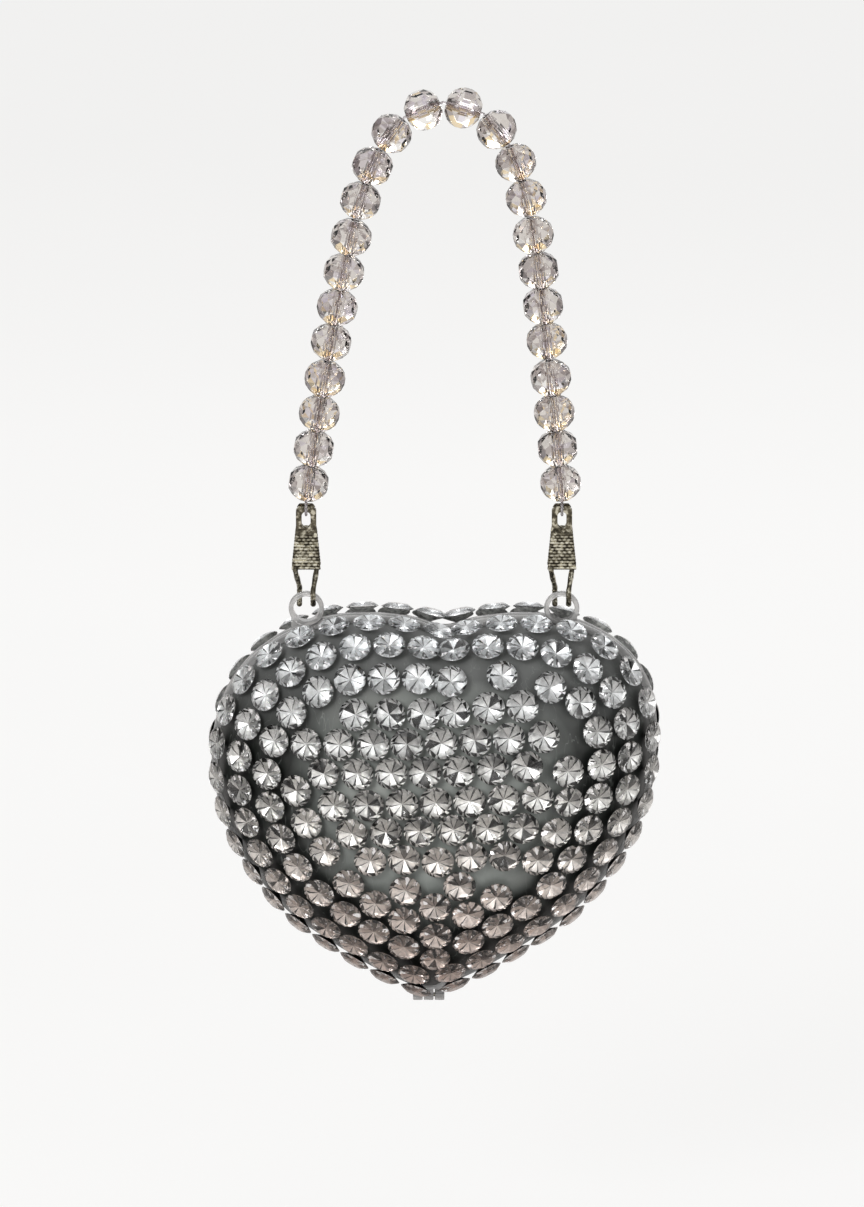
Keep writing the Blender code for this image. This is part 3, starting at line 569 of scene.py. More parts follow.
def thicken(thing, name, thickness, offset):
    """Gives a sheet its thickness; the offset is 1 outward, -1 inward and 0 to both sides."""
    skin = thing.modifiers.new(name, "SOLIDIFY")
    skin.thickness = thickness
    skin.offset = offset
    return skin


def band(shape, near, far):
    """Faces between two closed rings of points."""
    return [shape.faces.new((near[k - 1], near[k], far[k], far[k - 1])) for k in range(len(near))]


def apply_all(thing):
    """The object's evaluated shape, kept as its mesh."""
    bpy.context.view_layer.update()
    evaluated = thing.evaluated_get(bpy.context.evaluated_depsgraph_get())
    mesh = bpy.data.meshes.new_from_object(evaluated)
    thing.modifiers.clear()
    thing.data = mesh
    return thing


def boolean(target, shape, operation):
    """Joins a bmesh to the target, or cuts it away, at once."""
    tool = from_shape("tool", shape)
    made = target.modifiers.new("cut", "BOOLEAN")
    made.operation = operation
    made.solver = "EXACT"
    made.object = tool
    apply_all(target)
    bpy.data.objects.remove(tool)


# The heart's form


def lengths_along(points):
    steps = np.linalg.norm(np.diff(points, axis=0), axis=1)
    return np.concatenate([[0.0], np.cumsum(steps)])


def smooth_through(points, steps):
    """A smooth curve through points, with each inner span split in steps."""
    made = []
    for a, b, c, d in zip(points, points[1:], points[2:], points[3:]):
        for k in range(steps):
            t = k / steps
            square, cube = 2 * a - 5 * b + 4 * c - d, 3 * b - a - 3 * c + d
            made.append((2 * b + (c - a) * t + square * t**2 + cube * t**3) / 2)
    return made


def half_outline():
    """The right half of the outline, cleft to tip, in even steps, before it leans."""
    right = [np.array((x * HEART_WIDTH / 2, -z * HEART_HEIGHT)) for x, z in OUTLINE_SHARES]
    flip = np.array((-1, 1))
    fine = np.array(smooth_through([right[1] * flip, *right, right[-2] * flip], OUTLINE_SPLITS) + [right[-1]])
    along = lengths_along(fine)
    at = np.linspace(0, along[-1], OUTLINE_STEPS + 1)
    return np.stack([np.interp(at, along, fine[:, k]) for k in range(2)], axis=1)


def heart_outline(outset=0.0):
    """The outline as x, z points from the cleft round by the right to the tip and back, moved out."""
    right = half_outline()
    left = right[-2:0:-1] * (-1, 1)
    points = np.concatenate([right, left])
    depth, lean = zip(*MIDLINE_SHARES)
    points[:, 0] += np.interp(-points[:, 1] / HEART_HEIGHT, depth, lean) * HEART_WIDTH / 2
    tangents = np.roll(points, -1, axis=0) - np.roll(points, 1, axis=0)
    tangents /= np.linalg.norm(tangents, axis=1)[:, None]
    normals = np.stack([-tangents[:, 1], tangents[:, 0]], axis=1)
    return points + normals * outset


class Heart:
    """The outer face of the wall, by the angle round its pole and the degrees of rise from the seam."""

    def __init__(self):
        outline = heart_outline()
        self.pole = np.array((0.0, -POLE_SHARE * HEART_HEIGHT))
        arms = outline - self.pole
        turns = np.arctan2(arms[:, 0], arms[:, 1])
        order = np.argsort(turns)
        self.outline_turns = turns
        self.turns = np.concatenate([turns[order] - 2 * math.pi, turns[order], turns[order] + 2 * math.pi])
        self.radii = np.tile(np.linalg.norm(arms, axis=1)[order], 3)

    def radius(self, turn):
        return np.interp(turn, self.turns, self.radii)

    def place(self, turn, degrees, side):
        rise = np.radians(degrees)
        share = np.cos(rise) ** (2 / DOME_POWER)
        reach = share * ((1 - share**2) * POLE_RADIUS + share**2 * self.radius(turn))
        y = side * (WALL_START + (HALF_DEPTH - WALL_START) * np.sin(rise))
        x = HEART_X + self.pole[0] + reach * np.sin(turn)
        z = HEART_Z + self.pole[1] + reach * np.cos(turn)
        return np.stack(np.broadcast_arrays(x, y, z), axis=-1)

    def degrees_of(self, depth):
        return math.degrees(math.asin((depth - WALL_START) / (HALF_DEPTH - WALL_START)))

    def normal(self, turn, degrees, side):
        nudge = 0.5
        low, high = np.clip(degrees - nudge, 0, 90), np.clip(degrees + nudge, 0, 90)
        up = self.place(turn, high, side) - self.place(turn, low, side)
        turned = math.radians(2 * nudge)
        round_ = self.place(turn + turned, degrees, side) - self.place(turn - turned, degrees, side)
        out = np.cross(round_, up)
        out = out / np.linalg.norm(out, axis=-1)[..., None]
        return out * side


def dome(first, side, outset):
    """A fine dome over the outline, from its first rise to the pole, moved out along its normals."""
    shape = bmesh.new()
    turns = HEART.outline_turns
    loops = []
    for share in np.linspace(0.0, 1.0, DOME_RINGS)[:-1]:
        degrees = first + (90.0 - first) * share
        places = HEART.place(turns, degrees, side) + HEART.normal(turns, degrees, side) * outset
        loops.append([shape.verts.new(place) for place in places])
    for lower, upper in zip(loops, loops[1:]):
        band(shape, lower, upper)
    tip = shape.verts.new((HEART_X + HEART.pole[0], side * (HALF_DEPTH + outset), HEART_Z + HEART.pole[1]))
    for k in range(len(turns)):
        shape.faces.new((loops[-1][k - 1], loops[-1][k], tip))
    if side < 0:
        bmesh.ops.reverse_faces(shape, faces=shape.faces)
    return shape


def rim_shape(side):
    """The rim: a bar with rounded corners that runs round the outline."""
    low, high = SEAM_GAP / 2, SEAM_GAP / 2 + RIM_THICKNESS
    inner, outer = -WALL - RIM_IN, RIM_OUT
    section = []
    for across, depth, start in ((outer, high, 0), (inner, high, 90), (inner, low, 180), (outer, low, 270)):
        for turn in CORNER_TURNS:
            angle = math.radians(start + turn)
            x = across + RIM_ROUND * (math.cos(angle) - (1 if across > 0 else -1))
            y = depth + RIM_ROUND * (math.sin(angle) - (1 if depth > low else -1))
            section.append((x, side * y))
    shape = bmesh.new()
    rings = []
    for outset, y in section:
        points = heart_outline(outset)
        rings.append([shape.verts.new((HEART_X + x, y, HEART_Z + z)) for x, z in points])
    for near, far in zip(rings, rings[1:] + rings[:1]):
        band(shape, near, far)
    bmesh.ops.recalc_face_normals(shape, faces=shape.faces)
    return shape


def drum(radius, low, high, centre, along, sides, rounding=0.0):
    """A solid cylinder with rounded edges, along X or Y, between two places on it."""
    shape = bmesh.new()
    sizes = {"radius1": radius, "radius2": radius, "depth": high - low}
    bmesh.ops.create_cone(shape, cap_ends=True, segments=sides, **sizes)
    if rounding:
        caps = [edge for edge in shape.edges if edge.verts[0].co.z * edge.verts[1].co.z > 0]
        bmesh.ops.bevel(shape, geom=caps, offset=rounding, segments=DRUM_ROUNDS, profile=0.5, affect="EDGES")
    turn = Matrix.Rotation(math.radians(90), 4, "Y" if along == "X" else "X")
    middle = (low + high) / 2
    shift = Vector((middle, 0, 0)) if along == "X" else Vector((0, middle, 0))
    bmesh.ops.transform(shape, matrix=Matrix.Translation(Vector(centre) + shift) @ turn, verts=shape.verts)
    return shape


def block(low, high):
    shape = bmesh.new()
    bmesh.ops.create_cube(shape, size=1.0)
    bmesh.ops.scale(shape, vec=[b - a for a, b in zip(low, high)], verts=shape.verts)
    bmesh.ops.translate(shape, vec=[(a + b) / 2 for a, b in zip(low, high)], verts=shape.verts)
    return shape


def hinge_spans(side):
    inner = KNUCKLE_WIDTH / 2
    outer = inner + LEAF_GAP + KNUCKLE_WIDTH
    if side < 0:
        return [(-inner, inner)]
    return [(-outer, -inner - LEAF_GAP), (inner + LEAF_GAP, outer)]


def neck(centre):
    """What ties an eyelet's lower half to the rim."""
    outline = heart_outline()
    upper = outline[outline[:, 1] > -SHOULDER_SHARE * HEART_HEIGHT]
    upper = upper[np.argsort(upper[:, 0])]
    foot = HEART_Z + float(np.interp(centre.x - HEART_X, upper[:, 0], upper[:, 1])) - RIM_OUT
    half = (EYELET_HOLE + EYELET_RADIUS) / 2
    near, far = SEAM_GAP / 2 + NECK_INSET, SEAM_GAP / 2 + RIM_THICKNESS - NECK_INSET
    return block((centre.x - half, near, foot), (centre.x + half, far, centre.z))


def build_shell(label, side, body):
    """One half's smoky wall and its clear rim, with knuckles, and with eyelets on the back or notches on the
    front."""
    wall = from_shape(label + "_wall", dome(WALL_FIRST_RISE, side, 0.0), WALL_LOOK)
    smooth(wall, DOME_SMOOTH)
    thicken(wall, "wall", WALL, -1.0)
    apply_all(wall)
    rim = from_shape(label + "_rim", rim_shape(side), RIM_LOOK)
    drop = HINGE.z
    for low, high in hinge_spans(side):
        near, far = sorted((side * SEAM_GAP / 2, side * (SEAM_GAP / 2 + RIM_THICKNESS - RIM_ROUND)))
        top = drop + RIM_OUT + LEAF_GAP + KNUCKLE_RADIUS + LEAF_REACH
        boolean(rim, block((HINGE.x + low, near, drop), (HINGE.x + high, far, top)), "UNION")
        boolean(rim, drum(KNUCKLE_RADIUS, low, high, HINGE, "X", KNUCKLE_SIDES, RIM_ROUND / 2), "UNION")
        boolean(rim, drum(PIN_BORE, low - OVERRUN, high + OVERRUN, HINGE, "X", PIN_SIDES), "DIFFERENCE")
    for centre in EYELETS:
        half = EYELET_THICKNESS / 2
        reach = RIM_THICKNESS + OVERRUN
        if side > 0:
            boolean(rim, drum(EYELET_RADIUS, -half, half, centre, "Y", EYELET_SIDES, RIM_ROUND), "UNION")
            boolean(rim, neck(centre), "UNION")
            boolean(rim, drum(EYELET_HOLE, -reach, reach, centre, "Y", EYELET_SIDES), "DIFFERENCE")
        else:
            room = EYELET_RADIUS + NOTCH_GAP
            boolean(rim, drum(room, -reach, OVERRUN, centre, "Y", EYELET_SIDES), "DIFFERENCE")
    if side < 0:
        cleft = heart_outline(RIM_OUT)[0]
        place = (HEART_X + cleft[0], 0, HEART_Z + cleft[1])
        notch = drum(THUMB_NOTCH, -RIM_THICKNESS - OVERRUN, OVERRUN, place, "Y", NOTCH_SIDES)
        boolean(rim, notch, "DIFFERENCE")
    smooth(rim, RIM_SMOOTH)
    for piece in (wall, rim):
        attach(piece, body)
        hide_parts(label)


# The stones


def tables(name):
    """Each stone's table on the CAD coat: its middle, its normal and the way to its first corner."""
    shape = bmesh.new()
    shape.from_mesh(frame["nodes"][name].data)
    bmesh.ops.remove_doubles(shape, verts=shape.verts, dist=TABLE_MERGE)
    shape.verts.index_update()
    wanted = TABLE_CORNERS / 2 * math.sin(math.tau / TABLE_CORNERS) * TABLE_RADIUS**2
    seen, found = set(), []
    for face in shape.faces:
        if face in seen:
            continue
        group, queue = [], [face]
        seen.add(face)
        while queue:
            here = queue.pop()
            group.append(here)
            for edge in here.edges:
                for other in edge.link_faces:
                    if other not in seen and other.normal.dot(here.normal) > FLAT:
                        seen.add(other)
                        queue.append(other)
        corners = {vertex.index: vertex for member in group for vertex in member.verts}
        corners = [corners[k] for k in sorted(corners)]
        area = sum(member.calc_area() for member in group)
        if len(corners) == TABLE_CORNERS and abs(area / wanted - 1) < TABLE_SLACK:
            middle = sum((vertex.co for vertex in corners), Vector()) / len(corners)
            first = min(corners, key=lambda vertex: (round(vertex.co.z, 6), round(vertex.co.x, 6)))
            found.append((middle.copy(), face.normal.copy(), (first.co - middle).normalized()))
    shape.free()
    return found


def ring(radius, drop, count, turn=0.0):
    """Places round a stone's axis; turn is in steps."""
    angles = [(k + turn) * math.tau / count for k in range(count)]
    return [Vector((radius * math.cos(a), radius * math.sin(a), -drop)) for a in angles]


def ring_points(shape, stand, *numbers):
    return [shape.verts.new(stand @ place) for place in ring(*numbers)]


def back_drop(radius):
    """How far down the pointed back lies at a distance from the stone's axis."""
    edge = GEM_GIRDLE_DROP + GEM_GIRDLE_BAND
    return edge + (GEM_POINT_DROP - edge) * (1 - radius / GEM_GIRDLE)


def gem_body(shape, stand):
    """The cut glass of one stone: table, star, kite and girdle facets, a thin girdle and a pointed back."""
    n = GEM_FOLD
    table = ring_points(shape, stand, GEM_TABLE, 0.0, n)
    star = ring_points(shape, stand, GEM_STAR, GEM_STAR_DROP, n, 0.5)
    girdle = ring_points(shape, stand, GEM_GIRDLE, GEM_GIRDLE_DROP, 2 * n)
    lower = ring_points(shape, stand, GEM_GIRDLE, back_drop(GEM_GIRDLE), 2 * n)
    point = shape.verts.new(stand @ Vector((0, 0, -GEM_POINT_DROP)))
    shape.faces.new(table)
    for k in range(n):
        after = girdle[(2 * k + 2) % (2 * n)]
        shape.faces.new((table[k], star[k], table[(k + 1) % n]))
        shape.faces.new((table[k], star[k - 1], girdle[2 * k], star[k]))
        shape.faces.new((star[k], girdle[2 * k], girdle[2 * k + 1]))
        shape.faces.new((star[k], girdle[2 * k + 1], after))
    for k in range(2 * n):
        shape.faces.new((girdle[k - 1], lower[k - 1], lower[k], girdle[k]))
        shape.faces.new((lower[k - 1], point, lower[k]))


def gem_foil(shape, stand, painted_light, draw):
    """The foiled cup behind one stone: bright and dark spokes inside a ring of small facets, each with its
    tone of painted reflection, over a plain outer cone, dark with painted shade and pale with painted light
    on stones that face up. Facets that face up are painted brighter, more so the steeper the stone sits."""
    n = 2 * GEM_FOLD
    widths = [draw.uniform(*WIDE_SPOKES) if k % 2 else draw.uniform(*THIN_SPOKES) for k in range(n)]
    turns = [n * sum(widths[:k]) / sum(widths) for k in range(n)]
    edge_drop = back_drop(GEM_GIRDLE) + FOIL_GAP
    drop = back_drop(GEM_MIDDLE_RADIUS) + FOIL_GAP
    edge = ring_points(shape, stand, GEM_GIRDLE, edge_drop, 2 * n)
    middle = []
    for k, turn in enumerate(turns):
        spot = ring(GEM_MIDDLE_RADIUS, drop + GEM_GROOVE * (k % 2), n, turn)[0]
        middle.append(shape.verts.new(stand @ spot))
    point = shape.verts.new(stand @ Vector((0, 0, -GEM_POINT_DROP - FOIL_GAP)))
    under = ring_points(shape, stand, GEM_MIDDLE_RADIUS, drop + GEM_GROOVE + CUP_GAP, 2 * n)
    tip = shape.verts.new(stand @ Vector((0, 0, -CUP_DROP)))
    out = stand.to_3x3() @ Vector((0, 0, 1))
    painted_light_gain = PAINTED_UP_LIGHT + PAINTED_UP_LIGHT_ASIDE * (1 - abs(out.y)) + PAINTED_UP_LIGHT_BELOW * max(0.0, -out.z)
    facets = []
    for k in range(n):
        near, far = middle[k - 1], middle[k]
        facets.append((shape.faces.new((point, near, far)), k % 2 == 0))
        place = round(2 * turns[k])
        last = round(2 * turns[k - 1]) - (2 * n if k == 0 else 0)
        for m in range(last, place):
            facets.append((shape.faces.new((near, edge[m % (2 * n)], edge[(m + 1) % (2 * n)])), m % 2 == 0))
        facet = shape.faces.new((near, edge[place % (2 * n)], far))
        facets.append((facet, draw.random() < BRIGHT_EDGE_SHARE))
    for facet, bright in facets:
        if draw.random() < SWAPPED_SHARE:
            bright = not bright
        # Painted reflections: each facet gets a bright or a dark tone
        level = draw.choice(BRIGHT_TONES) if bright else draw.uniform(*DARK_TONES)
        facet.normal_update()
        # Painted light and shade: facets that face up are brighter, those that face down darker, and stones
        # on top brighter still
        up = facet.normal.z if facet.normal.dot(out) > 0 else -facet.normal.z
        level += painted_light_gain * (up - out.z) + PAINTED_TOP_LIGHT * max(0.0, out.z)
        facet[painted_light] = min(1.0, max(0.0, level))
    # The outer cone: dark with painted shade, and pale with painted light where the stone faces up
    for k in range(2 * n):
        for corners in ((edge[k - 1], under[k - 1], under[k], edge[k]), (under[k - 1], tip, under[k])):
            facet = shape.faces.new(corners)
            facet[painted_light] = SHADED_CUP_TONE
            facet.material_index = int(out.z > LIT_CUP_RISE)


def bare_places(found, side):
    """Tables for one more stone in each bare place of the coat with room for it, the widest place first."""
    turns = np.linspace(-math.pi, math.pi, SEARCH_TURNS)
    degrees = np.linspace(HEART.degrees_of(COAT_EDGE + GEM_GIRDLE), SEARCH_LAST_RISE, SEARCH_RISES)
    turns, degrees = (grid.ravel() for grid in np.meshgrid(turns, degrees))
    outs = HEART.normal(turns, degrees, side)
    spots = HEART.place(turns, degrees, side) + outs * GEM_RISE
    taken = np.array([spot[0] for spot in found])
    gaps = np.linalg.norm(spots[:, None] - taken, axis=2).min(axis=1)
    made = []
    while gaps.max() >= STONE_ROOM:
        k = gaps.argmax()
        gaps = np.minimum(gaps, np.linalg.norm(spots - spots[k], axis=1))
        out = Vector(outs[k])
        made.append((Vector(spots[k]), out, out.orthogonal().normalized()))
    return made


def build_gems(label, side, body, seed):
    """The cut stones of one half, with their foils and the film of glue that they stand in."""
    draw = random.Random(seed)
    glass, foils = bmesh.new(), bmesh.new()
    painted_light = foils.faces.layers.float.new("painted_light")
    places = sorted(tables(label), key=lambda spot: tuple(round(v, 5) for v in spot[0]))
    sizes = [1.0] * len(places)
    places += bare_places(places, side)
    sizes += [SMALLER_STONE] * (len(places) - len(sizes))
    for (middle, out, first), size in zip(places, sizes):
        across = out.cross(first)
        turn = Matrix((first, across, out)).transposed().to_4x4()
        spin = Matrix.Rotation(draw.uniform(0, math.tau), 4, "Z")
        stand = Matrix.Translation(middle) @ turn @ spin @ Matrix.Scale(size, 4)
        gem_body(glass, stand)
        gem_foil(foils, stand, painted_light, draw)
    bmesh.ops.recalc_face_normals(glass, faces=glass.faces)
    cut = from_shape(label + "_cut_glass", glass, GEM_LOOK)
    backs = from_shape(label + "_foil", foils, FOIL_LOOK, LIT_CUP_LOOK)
    coat = from_shape(label + "_glue", dome(HEART.degrees_of(COAT_EDGE), side, COAT_GAP), WALL_LOOK)
    smooth(coat, DOME_SMOOTH)
    thicken(coat, "film", FILM, 1.0)
    apply_all(coat)
    for piece in (cut, backs, coat):
        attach(piece, body)
        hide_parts(label)


# The beads


def bead_axis(node):
    """The middle of a CAD bead and the way along its bore, from the rings of points round its two ends."""
    mesh = frame["nodes"][node].data
    points = np.unique(np.round([tuple(vertex.co) for vertex in mesh.vertices], 6), axis=0)
    middle = points.mean(axis=0)
    near = points[np.linalg.norm(points - middle, axis=1) < (BEAD_LENGTH + BORE_RADIUS) / 2]
    way = near[np.argmax(np.linalg.norm(near - near[0], axis=1))] - near[0]
    ends = (near - middle) @ way > 0
    first, last = near[~ends].mean(axis=0), near[ends].mean(axis=0)
    return Vector(middle), Vector(last - first).normalized()


def bead_tint_and_painted_light(way, draw):
    """A facet's tint by the way it faces: painted shade aside, a painted warm reflection below, glass tints
    on the rest.
    """
    tints = OTHER_TINTS
    if abs(way.x) > ASIDE:
        tints = ASIDE_PAINTED_SHADE_TINTS
    elif way.z < -DOWN and abs(way.x) > LITTLE_ASIDE:
        tints = DOWN_PAINTED_REFLECTION_TINTS
    return (*BEAD_TINTS[draw.choices(list(tints), tints.values())[0]], 1.0)


def bead_shape(stand, draw):
    """A faceted bead: staggered rings of facets about its bore, with a tint for each facet, partly painted
    shade and reflection.
    """
    half = BEAD_LENGTH / 2
    n = BEAD_FOLD
    steps = (
        (BEAD_END_RADIUS, half),
        (BEAD_SHOULDER_RADIUS, half - BEAD_SHOULDER_SETBACK),
        (BEAD_WAIST_RADIUS, half - BEAD_WAIST_SETBACK),
        (BEAD_RADIUS, BEAD_GIRDLE / 2),
    )
    steps = [(radius, -height) for radius, height in steps] + list(reversed(steps))
    shape = bmesh.new()
    rings = []
    for number, (radius, height) in enumerate(steps):
        turn = 0.5 * (min(number, len(steps) - 1 - number) % 2)
        rings.append(ring_points(shape, stand, radius, -height, n, turn))
    tint_and_painted_light = shape.faces.layers.float_color.new("tint_and_painted_light")
    girdle = len(steps) // 2 - 1
    for number, (low, high) in enumerate(zip(rings, rings[1:])):
        ahead = (number + (number >= girdle)) % 2
        for k in range(n):
            if number == girdle:
                made = [(low[k - 1], low[k], high[k], high[k - 1])]
            elif ahead:
                made = [(low[k - 1], low[k], high[k]), (low[k], high[(k + 1) % n], high[k])]
            else:
                made = [(low[k], high[k - 1], high[k]), (low[k], high[k], low[(k + 1) % n])]
            for corners in made:
                face = shape.faces.new(corners)
                face.normal_update()
                outward = face.normal.dot(face.calc_center_median() - stand.translation) > 0
                face[tint_and_painted_light] = bead_tint_and_painted_light(face.normal if outward else -face.normal, draw)
    bore = [ring_points(shape, stand, BORE_RADIUS, z, 2 * n) for z in (half, -half)]
    made = band(shape, *bore)
    for near, far in ((rings[0], bore[0]), (rings[-1], bore[1])):
        for k in range(n):
            m = (k + 1) % n
            fan = (near[m], far[2 * m], far[2 * k + 1], far[2 * k])
            made += [shape.faces.new((near[k], a, b)) for a, b in zip(fan, fan[1:])]
    for number, face in enumerate(made):
        face[tint_and_painted_light] = BORE_PALE if number % BORE_DARK_EVERY else BORE_DARK
    bmesh.ops.recalc_face_normals(shape, faces=shape.faces)
    return shape


def build_beads():
    draw = random.Random(11)
    for body, nodes in frame["record"]["behaviour"]["bodies"].items():
        for node in nodes:
            if not node.startswith("bead_"):
                continue
            middle, way = bead_axis(node)
            turn = way.to_track_quat("Z", "Y").to_matrix().to_4x4()
            spin = Matrix.Rotation(draw.uniform(0, math.tau), 4, "Z")
            shape = bead_shape(Matrix.Translation(middle) @ turn @ spin, draw)
            piece = from_shape(node + "_glass", shape, BEAD_LOOK)
            bevel(piece, BEAD_EDGE, 1, BEAD_EDGE_DEGREES)
            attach(piece, body)
            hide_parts(node)


# The clips


def arm_rows(facing):
    """Rows down an arm's sheet: place across the fold, height, half width and half width of the eye."""
    rows = []
    if facing < 0:
        for degrees in range(90, -90, -FOLD_STEP):
            turn = math.radians(degrees)
            rows.append((FOLD_RADIUS * math.sin(turn), FOLD_RADIUS * math.cos(turn)))
        rows.append((-FOLD_RADIUS, 0.0))
    else:
        rows.append((FOLD_RADIUS, -CLIP_GAP))
    for k in range(1, EYE_STEPS + 1):
        rows.append((facing * FOLD_RADIUS, -CLIP_GAP - (SLOT_BOTTOM - CLIP_GAP) * k / EYE_STEPS))
    for k in range(1, FLARE_STEPS + 1):
        share = k / FLARE_STEPS
        across = FOLD_RADIUS + (PAD_OFFSET - FOLD_RADIUS) * share
        rows.append((facing * across, -SLOT_BOTTOM - (PAD_TOP - SLOT_BOTTOM) * share))
    rows.append((facing * PAD_OFFSET, -PAD_TOP - SHEET))
    made = []
    top = FOLD_RADIUS + SHEET / 2
    for across, height in rows:
        half = CLIP_WIDTH / 2
        fall = top - height
        if fall < ARCH_RADIUS:
            half -= ARCH_RADIUS - math.sqrt(ARCH_RADIUS**2 - (ARCH_RADIUS - fall) ** 2)
        half = max(half, CLIP_WIDTH / 2 - ARCH_RADIUS * ARCH_SHARE)
        if height < -SLOT_BOTTOM:
            share = (-height - SLOT_BOTTOM) / (PAD_TOP - SLOT_BOTTOM)
            half += min(share, 1.0) * (PAD_TOP_WIDTH - CLIP_WIDTH) / 2
        round_ = SLOT_WIDTH / 2
        eye = 0.0
        if -SLOT_BOTTOM < height < -SLOT_TOP:
            inset = min(-SLOT_TOP - height, height + SLOT_BOTTOM)
            eye = math.sqrt(max(0.0, round_**2 - max(0.0, round_ - inset) ** 2))
        made.append((across, height, half, eye))
    return made


def arm_sheet(name, foot, facing):
    """The folded sheet of one arm, with its arched top and oblong eye."""
    shape = bmesh.new()
    grid = []
    for across, height, half, eye in arm_rows(facing):
        row = []
        for sign in (-1, 1):
            xs = [sign * (half + (eye - half) * k / SHEET_COLUMNS) for k in range(SHEET_COLUMNS + 1)]
            row.append([shape.verts.new(foot + Vector((x, across, height))) for x in xs])
        grid.append(row)
    for upper, lower in zip(grid, grid[1:]):
        for near, far in zip(upper, lower):
            for k in range(SHEET_COLUMNS):
                shape.faces.new((near[k], near[k + 1], far[k + 1], far[k]))
    bmesh.ops.remove_doubles(shape, verts=shape.verts, dist=WELD)
    bmesh.ops.recalc_face_normals(shape, faces=shape.faces)
    sheet = from_shape(name, shape, NICKEL_LOOK)
    thicken(sheet, "sheet", SHEET, 0.0).use_even_offset = True
    bevel(sheet, SHEET * SHEET_EDGE, 2, SHEET_EDGE_DEGREES)
    apply_all(sheet)
    sheet.data.shade_smooth()
    mark_wear_and_highlight(sheet, lambda place: SHEET_WORN)
    return sheet


def mark_wear_and_highlight(thing, wear_and_highlight_at):
    """Stores how rubbed the metal is at each point, which on the pads is also a painted highlight."""
    layer = thing.data.attributes.new("wear_and_highlight", "FLOAT", "POINT")
    for vertex, item in zip(thing.data.vertices, layer.data):
        item.value = wear_and_highlight_at(vertex.co)


def rib_height(down):
    """Height of the pad's ribs, from 0 to 1, at a share of its height."""
    return abs(math.sin(math.pi * RIDGE_COUNT * down)) ** RIB_POWER


def weave(across, down):
    """Height of the pad's woven face, from 0 to 1, at shares of its width and height."""
    row = int(RIDGE_COUNT * down)
    bead = abs(math.sin(math.pi * (WEAVE_COUNT * across + 0.5 * (row % 2)))) ** WEAVE_POWER
    return rib_height(down) * (1 - WEAVE_SHARE + WEAVE_SHARE * bead)


def arm_pad(name, foot, facing):
    """The grip of one arm: a block with woven ribs on its face and down its edges."""
    wide, high = PAD_COLUMNS, PAD_ROWS
    near, far = PAD_OFFSET - SHEET / 2, PAD_OFFSET + SHEET / 2
    shape = bmesh.new()
    front, back = [], []
    for j in range(high + 1):
        down = j / high
        half = PAD_TOP_WIDTH / 2 + (PAD_BOTTOM_WIDTH - PAD_TOP_WIDTH) / 2 * down
        rib = rib_height(down)
        half -= RIDGE_DEPTH / 2 * (1 - rib)
        z = -PAD_TOP - (PAD_BOTTOM - PAD_TOP) * down
        front.append([])
        back.append([])
        for i in range(wide + 1):
            across = i / wide
            inside = min(across, 1 - across), min(down, 1 - down)
            inner = min(1.0, PAD_FRAME_SIDES * inside[0], PAD_FRAME_ENDS * inside[1])
            rise = RIDGE_DEPTH * (weave(across, down) * inner + WEAVE_SHARE * (1 - inner) * rib)
            x = (2 * across - 1) * half
            front[-1].append(shape.verts.new(foot + Vector((x, facing * (far + rise), z))))
            back[-1].append(shape.verts.new(foot + Vector((x, facing * near, z))))
    for j in range(high):
        for i in range(wide):
            shape.faces.new((front[j][i], front[j][i + 1], front[j + 1][i + 1], front[j + 1][i]))
            shape.faces.new((back[j][i], back[j + 1][i], back[j + 1][i + 1], back[j][i + 1]))
        for i in (0, wide):
            shape.faces.new((front[j][i], front[j + 1][i], back[j + 1][i], back[j][i]))
    for i in range(wide):
        for j in (0, high):
            shape.faces.new((front[j][i], back[j][i], back[j][i + 1], front[j][i + 1]))
    bmesh.ops.recalc_face_normals(shape, faces=shape.faces)
    pad = from_shape(name, shape, NICKEL_LOOK)
    smooth(pad, CLIP_SMOOTH)

    def wear_and_highlight_at(place):
        # Wear and painted highlight on the pad's raised weave
        raised = min(1.0, max(0.0, abs(place.y - foot.y) - far) / RIDGE_DEPTH)
        return raised**PAD_WEAR_AND_HIGHLIGHT_POWER

    mark_wear_and_highlight(pad, wear_and_highlight_at)
    return pad


def tube(points, radii, sides):
    """A closed tube with rounded ends through points, as a bmesh."""
    shape = bmesh.new()
    rings = []
    side = None
    for k, (place, radius) in enumerate(zip(points, radii)):
        way = (points[min(k + 1, len(points) - 1)] - points[max(k - 1, 0)]).normalized()
        side = way.orthogonal() if side is None else side - way * side.dot(way)
        side.normalize()
        other = way.cross(side)
        angles = [math.tau * m / sides for m in range(sides)]
        arms = [side * math.cos(a) + other * math.sin(a) for a in angles]
        rings.append([shape.verts.new(place + radius * arm) for arm in arms])
    for near, far in zip(rings, rings[1:]):
        band(shape, near, far)
    for end in (rings[0], rings[-1]):
        shape.faces.new(end)
    bmesh.ops.recalc_face_normals(shape, faces=shape.faces)
    return shape


